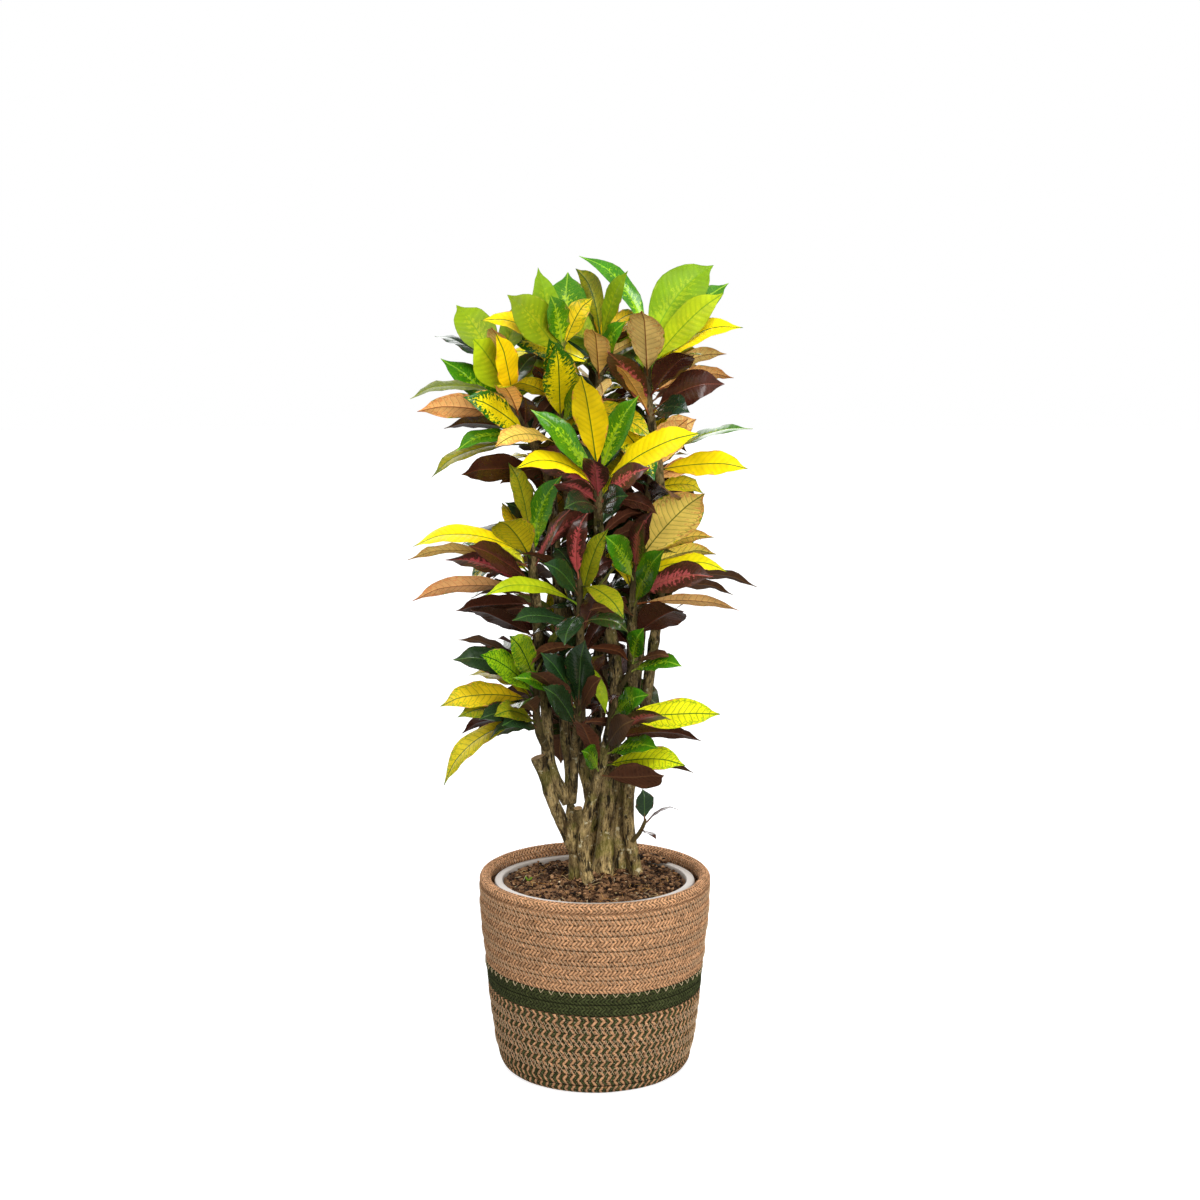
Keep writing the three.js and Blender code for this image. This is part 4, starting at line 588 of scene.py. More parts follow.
class Finish:
    """A material built from nodes, with short calls for the nodes that it needs."""

    def __init__(self, name, roughness=0.6, coat=0.0, specular=0.5):
        self.material = bpy.data.materials.new(name)
        self.material.use_nodes = True
        self.tree = self.material.node_tree
        self.shader = self.tree.nodes["Principled BSDF"]
        self.shader.inputs["Roughness"].default_value = roughness
        self.shader.inputs["Specular IOR Level"].default_value = specular
        self.shader.inputs["Coat Weight"].default_value = coat
        self.shader.inputs["Coat Roughness"].default_value = 0.12

    def feed(self, socket, value):
        if isinstance(value, bpy.types.NodeSocket):
            self.tree.links.new(value, socket)
        elif value is not None:
            if hasattr(socket.default_value, "__len__"):
                value = tuple(value) + (1.0,) * (len(socket.default_value) - len(value))
            socket.default_value = value

    def node(self, kind, inputs=(), output=0, **settings):
        made = self.tree.nodes.new("ShaderNode" + kind)
        for name, value in settings.items():
            setattr(made, name, value)
        for name, value in dict(inputs).items():
            self.feed(made.inputs[name], value)
        return made.outputs[output]

    def math(self, operation, a, b=None, c=None):
        return self.node("Math", {0: a, 1: b, 2: c}, operation=operation)

    def times(self, a, b):
        return self.math("MULTIPLY", a, b)

    def less(self, a, b):
        return self.math("SUBTRACT", a, b)

    def scaled(self, a, by, plus):
        return self.math("MULTIPLY_ADD", a, by, plus)

    def step(self, low, high, value):
        inputs = {"Value": value, "From Min": low, "From Max": high}
        return self.node("MapRange", inputs, interpolation_type="SMOOTHSTEP")

    def range(self, value, low, high, to_low, to_high):
        inputs = {"Value": value, "From Min": low, "From Max": high, "To Min": to_low, "To Max": to_high}
        return self.node("MapRange", inputs)

    def mix(self, share, a, b, blend="MIX"):
        inputs = {0: share, 6: a, 7: b}
        return self.node("Mix", inputs, 2, data_type="RGBA", blend_type=blend)

    def over(self, share, colour, tint):
        """A tint in sRGB, laid over a colour by a share."""
        return self.mix(share, colour, linear(tint))

    def spotted(self, colour, tint, strength, scale, low, high, detail=2.0, roughness=0.5):
        """A colour with spots of an sRGB tint, where a noise is above a level."""
        spots = self.step(low, high, self.grain(scale / MM, None, detail, roughness))
        return self.over(self.times(spots, strength), colour, tint)

    def shaded(self, colour, shade, *more):
        """A colour times the product of some shades."""
        for other in more:
            shade = self.times(shade, other)
        return self.mix(1.0, colour, self.join(shade, shade, shade), "MULTIPLY")

    def attribute(self, name):
        return self.node("Attribute", output="Vector", attribute_name=name)

    def parts(self, name):
        """The three numbers of an attribute."""
        return self.split(self.attribute(name))

    def split(self, vector):
        made = self.tree.nodes.new("ShaderNodeSeparateXYZ")
        self.feed(made.inputs[0], vector)
        return made.outputs

    def join(self, x, y, z):
        return self.node("CombineXYZ", {0: x, 1: y, 2: z})

    def place(self):
        return self.node("TexCoord", output="Object")

    def grain(self, scale, vector=None, detail=3.0, roughness=0.5):
        inputs = {"Vector": vector or self.place(), "Scale": scale, "Detail": detail, "Roughness": roughness}
        return self.node("TexNoise", inputs)

    def cells(self, scale, vector, **settings):
        return self.node("TexVoronoi", {"Vector": vector, "Scale": scale}, "Distance", **settings)

    def relief(self, height, distance, strength):
        return self.node("Bump", {"Height": height, "Distance": distance, "Strength": strength})

    def finish(self, colour, roughness=None, normal=None):
        self.feed(self.shader.inputs["Base Color"], colour)
        self.feed(self.shader.inputs["Roughness"], roughness)
        self.feed(self.shader.inputs["Normal"], normal)
        return self.material


VEIN_PITCH = 8.2  # distance between side veins


def leaf_material(name, specular, coat):
    """Croton blade: side veins that join in loops at the edge, and patches that follow the veins; painted shade
    darkens it a little along the side veins.
    """
    made = Finish(name, coat=coat, specular=specular)
    along, across, _ = made.parts("leaf_at")
    share, edge, _ = made.parts("leaf_run")
    patches, bias, veins = made.parts("leaf_marks")
    seed, roughness, net = made.parts("leaf_own")
    base, patch, vein = (made.attribute(name) for name in ("leaf_base", "leaf_patch", "leaf_vein"))
    out = made.math("ABSOLUTE", across)
    wobble = made.grain(0.12 / MM, made.join(along, across, seed), 1.0)
    bent = made.scaled(out, -0.42, made.scaled(made.times(out, out), -9.0, along))
    bent = made.scaled(wobble, 2.4 * MM, bent)
    order = made.math("DIVIDE", bent, VEIN_PITCH * MM)
    from_vein = made.math("PINGPONG", order, 0.5)
    side_vein = made.step(0.085, 0.015, from_vein)
    midrib = made.step(1.05 * MM, 0.45 * MM, out)
    speckle = made.grain(1.0, made.join(made.times(order, 2.4), made.times(across, 0.26 / MM),
                                        made.times(seed, 31.0)), 5.0, 0.72)
    field = made.scaled(made.less(edge, 0.45), made.times(bias, 0.3), speckle)
    tip = made.times(made.less(made.step(0.6, 1.0, share), made.step(0.5, 0.2, share)), made.times(bias, 0.2))
    field = made.math("ADD", made.scaled(from_vein, 0.2, field), tip)
    limit = made.range(patches, 0.0, 1.0, 0.86, 0.30)
    spots = made.step(made.less(limit, 0.03), made.math("ADD", limit, 0.03), field)
    colour = made.mix(spots, base, patch)
    net_lines = made.step(0.16, 0.03, made.cells(0.24 / MM, made.join(bent, across, seed),
                                                feature="DISTANCE_TO_EDGE"))
    colour = made.mix(made.times(net_lines, net), colour, vein)
    inner_part = made.times(side_vein, made.step(0.78, 0.7, edge))
    half_way = made.scaled(from_vein, -2.0, 1.0)
    loop = made.scaled(made.times(half_way, half_way), -0.14, 0.84)
    loop = made.step(0.05, 0.015, made.math("ABSOLUTE", made.less(edge, loop)))
    drawn = made.math("MAXIMUM", inner_part, made.times(loop, 0.8))
    lines = made.math("MAXIMUM", made.times(drawn, veins), midrib)
    colour = made.mix(lines, colour, vein)
    cloud = made.grain(0.035 / MM, made.join(along, across, seed), 3.0)
    # Tone varies at random by the cloud and is darker at the margin; the last factor is painted shade, a little
    # darker along the side veins and lighter between them, as on a quilted blade.
    colour = made.shaded(colour, made.range(cloud, 0.3, 0.7, 0.82, 1.16),
                         made.range(edge, 0.94, 1.0, 1.0, 0.72), made.range(from_vein, 0.0, 0.4, 0.94, 1.03))
    height = made.scaled(net_lines, -0.1, made.less(made.step(0.0, 0.42, from_vein), made.times(midrib, 0.6)))
    gloss = made.scaled(made.less(cloud, 0.5), 0.16, roughness)
    return made.finish(colour, gloss, made.relief(height, 0.18 * MM, 0.6))


def bark_material():
    """Grey-olive bark with furrows, pale lichen and moss; green on young wood; pale where sawn; darkened higher
    up by painted shade, as under the leaves.
    """
    made = Finish("croton_bark", specular=0.15)
    young, sawn, _ = made.parts("bark")
    place = made.place()
    stretched = made.node("Mapping", {"Vector": place, "Scale": (1.0, 1.0, 0.32)})
    coarse = made.grain(0.07 / MM, stretched, 5.0, 0.65)
    fine = made.grain(0.5 / MM, stretched, 4.0, 0.75)
    colour = made.mix(made.range(coarse, 0.38, 0.6, 0.0, 1.0), linear((84, 66, 38)), linear((204, 176, 118)))
    pores = made.step(0.3, 0.16, made.cells(0.3 / MM, stretched))
    colour = made.over(made.times(pores, 0.45), colour, (196, 180, 136))
    colour = made.over(made.range(fine, 0.36, 0.56, 0.85, 0.0), colour, (20, 14, 7))
    colour = made.spotted(colour, (110, 112, 30), 0.4, 0.03, 0.5, 0.62, 4.0, 0.6)
    colour = made.spotted(colour, (230, 220, 180), 0.75, 0.1, 0.6, 0.68, 4.0, 0.6)
    furrow = made.step(0.44, 0.36, made.grain(0.12 / MM, stretched, 3.0, 0.6))
    old = made.over(made.times(furrow, 0.9), colour, (20, 15, 9))
    fresh = made.mix(fine, linear((62, 54, 30)), linear((128, 110, 66)))
    colour = made.mix(young, old, fresh)
    # Painted shade: the bark darkens to half between 280 mm and 430 mm up, as in the shade of the leaves.
    colour = made.shaded(colour, made.range(made.split(place)[2], 280 * MM, 430 * MM, 1.0, 0.5))
    rings = made.grain(0.22 / MM, place, 2.0)
    wood = made.mix(rings, linear((150, 112, 70)), linear((206, 172, 124)))
    colour = made.mix(sawn, colour, wood)
    height = made.less(made.scaled(fine, 0.5, coarse), made.times(furrow, 0.6))
    return made.finish(colour, 0.8, made.relief(height, 2.0 * MM, 1.0))


def braid_material(name, first, second, flecks=1.0):
    """Flat braid: slanted strands in two colours by turns, with fibres, holes and sewn seams; painted shade
    darkens the holes, the gaps between strands and the seams, painted light brightens each strand's crest, and
    painted glints lie on the inner wall.
    """
    made = Finish(name, specular=0.1)
    strand, tier, row = made.parts("braid_at")
    seam, inner, _ = made.parts("braid_lie")
    place = made.place()
    uneven = made.less(made.grain(0.4 / MM, place, 2.0), 0.5)
    strand = made.scaled(uneven, 0.8, strand)
    number = made.math("FLOOR", strand)
    from_side = made.math("PINGPONG", strand, 0.5)
    from_tier = made.math("PINGPONG", tier, 0.5)
    odd = made.math("FLOORED_MODULO", number, 2.0)
    own = made.node("TexWhiteNoise", {"Vector": made.join(number, made.math("FLOOR", tier), row)},
                    noise_dimensions="3D")
    streaks = made.grain(1.0, made.join(made.times(strand, 6.0), made.times(tier, 1.8), row), 3.0, 0.7)
    fibre = made.grain(0.9 / MM, place, 3.0, 0.75)
    # Strand tone varies at random by strand, streak and fibre; the last factor is painted light and shade,
    # lighter along each strand's crest and darker at its sides.
    colour = made.shaded(made.mix(odd, first, second), made.range(own, 0.0, 1.0, 0.72, 1.25),
                         made.range(streaks, 0.32, 0.68, 0.5, 1.5), made.range(fibre, 0.34, 0.66, 0.6, 1.4),
                         made.range(from_side, 0.1, 0.5, 0.8, 1.3))
    colour = made.spotted(colour, (206, 138, 76), 0.3 * flecks, 0.11, 0.64, 0.74)
    colour = made.spotted(colour, (232, 206, 174), 0.6 * flecks, 0.6, 0.62, 0.7)
    # Painted glints: whitish reflection spots on the inner wall and inside the rim, where braid_lie's second
    # number lets them.
    painted_glint = made.times(made.step(0.56, 0.66, made.grain(0.34 / MM, place, 3.0)), inner)
    colour = made.over(made.times(painted_glint, 0.7), colour, (238, 216, 188))
    # Painted shade: near-black lines in the gaps between strands, dark holes where the strands cross, and dark
    # dashes along the seams.
    side = made.times(made.step(0.17, 0.02, from_side), 0.7)
    painted_hole_shade = made.times(made.step(0.42, 0.2, from_side), made.step(0.24, 0.1, from_tier))
    painted_hole_shade = made.times(painted_hole_shade, made.step(0.35, 0.6, made.grain(0.25 / MM, place, 1.0)))
    painted_seam_shade = made.times(made.step(0.15, 0.6, seam), made.range(from_side, 0.12, 0.5, 1.0, 0.45))
    dark = made.math("MAXIMUM", made.math("MAXIMUM", side, made.times(painted_hole_shade, 0.9)), made.times(painted_seam_shade, 0.9))
    colour = made.mix(dark, colour, made.mix(0.06, (0.004, 0.003, 0.0015), colour))
    height = made.scaled(made.step(0.0, 0.4, from_side), 0.6, made.times(fibre, 0.8))
    return made.finish(colour, 0.88, made.relief(height, 0.6 * MM, 0.9))


def thread_material(name, dark, light):
    made = Finish(name, roughness=0.7)
    twist = made.node("TexWave", {"Vector": made.place(), "Scale": 0.5 / MM, "Distortion": 3.0}, 1)
    shade = made.grain(0.5 / MM, None, 2.0)
    return made.finish(made.mix(shade, linear(dark), linear(light)), None, made.relief(twist, 0.2 * MM, 0.6))


def pot_material():
    """Grey moulded plastic, a little dusty."""
    made = Finish("grey_pot", roughness=0.5)
    dust = made.grain(0.02 / MM, None, 5.0, 0.65)
    colour = made.mix(dust, linear((164, 155, 146)), linear((206, 197, 188)))
    colour = made.spotted(colour, (110, 92, 76), 0.5, 0.3, 0.66, 0.72)
    return made.finish(colour, made.range(dust, 0.3, 0.7, 0.42, 0.62), made.relief(dust, 0.4 * MM, 0.3))


def soil_material():
    """Dark peat; each crumb and fibre has its own shade, and the bed's tint holds painted shade in its hollows
    and painted light on its lumps.
    """
    made = Finish("peat", specular=0.15)
    own = made.attribute("soil_tint")
    fine = made.grain(0.7 / MM, None, 4.0, 0.7)
    wet = made.grain(0.03 / MM, None, 3.0)
    colour = made.shaded(own, made.range(fine, 0.3, 0.7, 0.4, 1.6), made.range(wet, 0.3, 0.7, 0.8, 1.2))
    return made.finish(colour, 0.9, made.relief(fine, 0.8 * MM, 0.9))


# ---------------------------------------------------------------- leaves

LONG_BLADE = 95  # blades shorter than this have fewer cross-sections
LONG_SECTIONS, SHORT_SECTIONS = 21, 14
WOOD_SIDES, WOOD_SPACING = 22, 3.2  # sides of the wood, and space between its rings
BLADE_HALF = np.array([0.035, 0.09, 0.2, 0.34, 0.5, 0.68, 0.86, 1.0])
TOP_LINES = np.concatenate([-BLADE_HALF[::-1], [0], BLADE_HALF])
UNDER_LINES = TOP_LINES[-2:0:-1]
BLADE_SWELL = 0.22  # half of its thickness at the middle
RIB_GROOVE, RIB_RIDGE = 0.18, 0.85  # depth of the midrib above, height of it below
TINT_SPREAD = np.array([0.24, 0.16, 0.16])
# The stalk: share of the leaf's length, radius, and how far it lies below the blade.
STALK = ((-0.03, 2, 0), (0, 1.9, 0), (0.03, 1.5, 0), (0.07, 1.25, 0), (0.11, 1.15, 0.1), (0.15, 1.1, 0.45),
         (0.22, 0.9, 0.55), (0.34, 0.3, 0.5))
OLD_WOOD, YOUNG_WOOD = 6.2, 4.6  # radii at which wood is all bark or all green
FLARE_HEIGHT = 45  # how far above the soil a stem is thicker


class Leaf:
    """One leaf: where its stalk leaves the wood, which way it runs, its size and its roll."""

    def __init__(self, foot, azimuth, rise, length, width, face, arch):
        self.foot = np.asarray(foot, float)
        self.azimuth, self.rise = azimuth, rise
        self.length, self.width = length, width
        self.face, self.arch = face, arch
        self.turned_over = False

    def frame(self, shares):
        """Middle line, blade normal and blade side at shares of the length."""
        t = np.atleast_1d(np.asarray(shares, float))[:, None]
        across = np.array([math.cos(self.azimuth), math.sin(self.azimuth), 0])
        up = np.array([0, 0, 1])
        along = across * math.cos(self.rise) + up * math.sin(self.rise)
        above = -across * math.sin(self.rise) + up * math.cos(self.rise)
        point = self.foot + along * self.length * t + above * 4 * self.arch * t * (1 - t)
        tangent = unit(along + above * 4 * self.arch * (1 - 2 * t) / self.length)
        side = np.array([math.sin(self.azimuth), -math.cos(self.azimuth), 0])
        if side[1] > 0:
            side = -side
        normal = unit(above - tangent * (tangent @ above)[:, None])
        turn, lean = math.cos(self.face), math.sin(self.face)
        return point, normal * turn + side * lean, side * turn - normal * lean

    def half_width(self, shares):
        u = np.clip((np.asarray(shares, float) - STALK_SHARE) / (1 - STALK_SHARE), 0, 1)
        return 0.5 * self.width * np.sin(math.pi * u ** 1.1).clip(0) ** 0.85

    def key_points(self, stations):
        """Corners that the CAD leaf has on its upper side, and its tip."""
        point, normal, side = self.frame(stations)
        half = self.half_width(stations)[:, None]
        edge = point + normal * (BLADE_FOLD * half + BLADE_THICKNESS / 2)
        return np.concatenate([edge + side * half, point + normal * BLADE_THICKNESS / 2,
                               edge - side * half, self.frame(1)[0]])

    def face_towards(self, turned):
        """The roll that turns the upper side away from the view point by an angle."""
        point, normal, side = (v[0] for v in self.frame(0.5))
        along = unit(np.cross(normal, side))
        sight = unit(VIEW_POINT - point)
        front = unit(sight - along * (sight @ along))
        edge_on = np.cross(along, front)
        if edge_on @ normal < 0:
            edge_on = -edge_on
        wanted = front * math.cos(turned) + edge_on * math.sin(turned)
        return math.atan2(wanted @ side, wanted @ normal)

    def shows_upper_side(self):
        """Whether the upper side is towards the view point."""
        point, normal, _ = (v[0] for v in self.frame(0.5))
        return normal @ (VIEW_POINT - point) > 0

    def inside_outline(self):
        """Whether a filling leaf stays within the shape of the plant."""
        for point in self.frame((0.5, 0.75, 1))[0]:
            reach = math.hypot(point[0] - FOLIAGE_CENTRE[0], point[1] - FOLIAGE_CENTRE[1])
            share = VIEW_POINT[1] / (VIEW_POINT[1] - point[1])
            x, _, z = VIEW_POINT + (point - VIEW_POINT) * share
            if (reach > read_table(FOLIAGE_REACH, point[2]) or x < read_table(SEEN_LEFT, z)
                    or x > read_table(SEEN_RIGHT, z) or z > read_table(SEEN_TOP, x)):
                return False
        return True


def axis_at(path, height):
    """Point of a wood path at a height."""
    i = 1
    while i < len(path) - 1 and path[i][2] < height:
        i += 1
    low, high = np.array(path[i - 1], float), np.array(path[i], float)
    share = min(1, max(0, (height - low[2]) / (high[2] - low[2])))
    return (low + (high - low) * share)[:3]


def leaf_from_tip(path, tip_x, tip_z, depth, foot_z, width, turned, arch):
    seen = np.array([tip_x, 0, tip_z])
    tip = VIEW_POINT + (seen - VIEW_POINT) * (1 + depth / -VIEW_POINT[1])
    foot = axis_at(path, foot_z)
    reach = tip - foot
    length = float(np.linalg.norm(reach))
    leaf = Leaf(foot, math.atan2(reach[1], reach[0]), math.asin(reach[2] / length), length, width, 0, arch)
    leaf.face = leaf.face_towards(math.radians(turned))
    return leaf


def leaf_by_rule(path, shoot, index, draw):
    """A filling leaf: high ones stand up and are small, low ones spread and droop."""
    share = (index + 0.5) / shoot.fill
    foot_z = shoot.high - 3 - (shoot.high - shoot.low - 6) * share
    turn = math.fmod(GOLDEN_TURN * index + shoot.low * 0.37 + 0.5 * (next(draw) - 0.5), 2 * math.pi)
    azimuth = math.pi / 2 + (turn / math.pi - 1) * FILL_SPREAD if shoot.leaves else turn
    rise = math.radians(62 - 84 * share + 30 * (next(draw) - 0.5))
    length = 96 + 34 * min(1, 2 * share) + 16 * (next(draw) - 0.5)
    width = length * (0.33 + 0.08 * next(draw))
    face = math.radians(100 * (next(draw) - 0.5))
    return Leaf(axis_at(path, foot_z), azimuth, rise, length, width, face, 5 + 9 * next(draw))


class CadCorners:
    """The corners of a CAD node, to tell which of a leaf's allowed places it took."""

    def __init__(self, node):
        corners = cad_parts[node].data.vertices
        self.tree = KDTree(len(corners))
        for number, corner in enumerate(corners):
            self.tree.insert(corner.co, number)
        self.tree.balance()

    def hold(self, leaf, stations):
        points = leaf.key_points(stations) * MM
        met = sum(self.tree.find(point)[2] < FOUND_WITHIN * MM for point in points)
        return met >= 0.5 * len(points)


def grow_leaves():
    """All leaves by stem, each with its look: the CAD model's in its places, and the inner ones."""
    corners = {name: CadCorners(name) for name in STEMS}
    grown = {name: [] for name in STEMS}
    for name, stem in STEMS.items():
        for shoot in stem["shoots"]:
            path = stem["wood"][shoot.path]
            for tip_x, tip_z, depth, foot_z, width, face, arch, look in shoot.leaves:
                stations = LONG_STATIONS if width > WIDE_LEAF else SHORT_STATIONS
                for deeper, higher, turned in READ_NUDGES:
                    leaf = leaf_from_tip(path, tip_x, tip_z, depth + deeper, foot_z + higher, width,
                                         face + turned, arch)
                    if corners[name].hold(leaf, stations):
                        leaf.turned_over = leaf.shows_upper_side() == (look in UNDER_LOOKS)
                        grown[name].append((leaf, look))
                        break
    draw, chance = random_numbers(PLACE_SEED), random_numbers(LOOK_SEED)
    for name, stem in STEMS.items():
        for shoot in stem["shoots"]:
            for index in range(shoot.fill):
                leaf = leaf_by_rule(stem["wood"][shoot.path], shoot, index, draw)
                for _ in range(SHRINK_STEPS):
                    if leaf.inside_outline():
                        break
                    leaf.length *= LENGTH_SHRINK
                    leaf.width *= WIDTH_SHRINK
                looks = next(looks for height, looks in FILL_LOOKS if leaf.foot[2] >= height)
                look = pick(chance, looks)
                azimuth, rise = leaf.azimuth, leaf.rise
                for turn, lift in FILL_NUDGES:
                    leaf.azimuth = azimuth + math.radians(turn)
                    leaf.rise = rise + math.radians(lift)
                    if corners[name].hold(leaf, SHORT_STATIONS):
                        grown[name].append((leaf, look))
                        break
    inner_leaves(grown)
    return grown


def inner_leaves(grown):
    """Adds the small shaded leaves, each where it hangs clear of the wood and of all other leaves."""
    chance = random_numbers(INNER_SEED)
    solid = [wood_sheet(path) for stem in STEMS.values() for path in stem["wood"]]
    solid += [leaf_sheet(leaf) for leaves in grown.values() for leaf, _ in leaves]
    trees = [BVHTree.FromPolygons(*sheet) for sheet in solid]
    for name, path_number, low, high, count, looks in INNER_LEAVES:
        path = STEMS[name]["wood"][path_number]
        placed = 0
        for _ in range(INNER_TRIES * count):
            foot = axis_at(path, low + (high - low) * next(chance))
            length = 62 + 42 * next(chance)
            leaf = Leaf(foot, 2 * math.pi * next(chance), math.radians(-25 + 85 * next(chance)), length,
                        length * (0.34 + 0.08 * next(chance)), math.radians(120 * (next(chance) - 0.5)),
                        4 + 6 * next(chance))
            look = pick(chance, looks)
            tree = BVHTree.FromPolygons(*leaf_sheet(leaf))
            tip_y = leaf.frame(1)[0][0, 1]
            if (tip_y > foot[1] - INNER_FORWARD and leaf.inside_outline()
                    and not any(tree.overlap(other) for other in trees)):
                grown[name].append((leaf, look))
                trees.append(tree)
                placed += 1
            if placed == count:
                break


def leaf_sheet(leaf):
    """A coarse sheet in the blade's shape, without its stalk."""
    t = np.array([0.26, 0.38, 0.52, 0.66, 0.8, 0.92, 1])
    point, normal, side = leaf.frame(t)
    half = leaf.half_width(t)[:, None] + 0.8
    edge = point + normal * BLADE_FOLD * half
    corners = np.stack([edge + side * half, point, edge - side * half], axis=1).reshape(-1, 3)
    return corners.tolist(), grid_faces(len(t), 3).tolist()


def wood_sheet(path):
    line = np.asarray(path, float)
    points, faces = tube_mesh(line[:, :3], line[:, 3] + 0.5, 6)
    return points.tolist(), [face for group in faces for face in group.tolist()]


def face_values(face, tint, seed):
    return {
        "leaf_base": linear(face.base) * tint,
        "leaf_patch": linear(face.patch) * tint,
        "leaf_vein": linear(face.vein) * tint,
        "leaf_marks": (face.patches, face.bias, face.veins),
        "leaf_own": (seed, face.roughness, face.net),
    }


def add_leaf(heap, leaf, look, chance):
    """A thin blade with a fold, a ribbed edge, a drawn-out tip and a raised rib below, and its stalk."""
    upper, under = LOOKS[look][::-1] if leaf.turned_over else LOOKS[look]
    seed = next(chance)
    tint = 1 + TINT_SPREAD * (np.array([next(chance) for _ in range(3)]) - 0.5)
    sections = LONG_SECTIONS if leaf.length > LONG_BLADE else SHORT_SECTIONS
    u = 0.5 - 0.5 * np.cos(np.linspace(0, math.pi, sections))
    t = STALK_SHARE + (1 - STALK_SHARE) * u
    point, normal, side = leaf.frame(t)
    half = leaf.half_width(t) * (1 - 0.5 * smooth_step(0.82, 0.95, u))
    half = np.maximum(half, np.interp(u, (0, 0.05, 1), (1.0, 0.2, 0.12)))
    curl = (3 + 5 * next(chance)) * smooth_step(0.72, 1, u)
    point = point - normal * curl[:, None]
    waves = [next(chance) for _ in range(6)]
    rings = []
    for lines, sign in ((TOP_LINES, 1), (UNDER_LINES, -1)):
        v = lines[None, :]
        reach = np.abs(v) * half[:, None]
        lift = BLADE_FOLD * reach * (1.35 - 0.7 * np.abs(v))
        for hand, (count, phase, size) in ((-1, waves[:3]), (1, waves[3:])):
            wave = np.sin(2 * math.pi * ((2.2 + 2 * count) * u + phase)) * (0.6 + 1.4 * size)
            calm = smooth_step(0, 0.15, u) * (1 - smooth_step(0.85, 1, u)) * np.minimum(1, half / 12)
            lift = lift + (wave * calm)[:, None] * np.where(v * hand > 0, np.abs(v) ** 2.5, 0)
        lift = lift + sign * BLADE_SWELL * (1 - v ** 4)
        if sign > 0:
            lift = lift - RIB_GROOVE * np.exp(-(reach / 1.1) ** 2) * (1 - u[:, None])
        else:
            lift = lift - RIB_RIDGE * np.exp(-(reach / 0.9) ** 2) * (1 - 0.7 * u[:, None])
        across = v * half[:, None]
        rings.append((point[:, None] + side[:, None] * across[..., None] + normal[:, None] * lift[..., None],
                      stacked((t * leaf.length)[:, None] * MM, across * MM, 0),
                      stacked(t[:, None], np.abs(v), 0)))
    ring, at, run = (np.concatenate(parts, axis=1) for parts in zip(*rings))
    columns = ring.shape[1]
    points = np.concatenate([ring.reshape(-1, 3), point[:1], point[-1:]])
    places = np.concatenate([at.reshape(-1, 3), [[t[0] * leaf.length * MM, 0, 0]], [[leaf.length * MM, 0, 0]]])
    runs = np.concatenate([run.reshape(-1, 3), [[t[0], 0, 0]], [[1, 0, 0]]])
    body = grid_faces(sections, columns, wrapped=True)
    low_cap, high_cap = end_fans(sections, columns)
    flipped = np.dot(np.cross(points[body[8, 1]] - points[body[8, 0]], points[body[8, 3]] - points[body[8, 0]]),
                     normal[0]) < 0
    on_top = np.arange(columns) < len(TOP_LINES) - 1
    sharp = np.zeros(len(points), bool)
    sharp[:-2].reshape(sections, columns)[:, [0, len(TOP_LINES) - 1]] = True
    for face, chosen in ((upper, on_top), (under, ~on_top)):
        quads = body[np.tile(chosen, sections - 1)]
        caps = np.concatenate([low_cap[chosen], high_cap[chosen]])
        used = np.unique(np.concatenate([quads.ravel(), caps.ravel()]))
        order = np.zeros(len(points), np.int64)
        order[used] = np.arange(len(used))
        quads, caps = order[quads], order[caps]
        if flipped:
            quads, caps = quads[:, ::-1], caps[:, ::-1]
        finish = 2 if face.roughness < GLOSSY else 1
        heap.add(points[used], [quads, caps], finish, sharp[used], leaf_at=places[used], leaf_run=runs[used],
                 **face_values(face, tint, seed))
    add_stalk(heap, leaf, under, tint, seed)


def add_stalk(heap, leaf, under, tint, seed):
    t, radii, sunk = np.array(STALK).T
    point, normal, _ = leaf.frame(t)
    points, faces = tube_mesh(point - normal * sunk[:, None], radii, 8)
    stalk = under._replace(patches=0.0, veins=0.0, net=0.0, roughness=0.45)
    heap.add(points, faces, 1, leaf_at=(t[0] * MM, 0, 0), **face_values(stalk, tint * 0.85, seed))


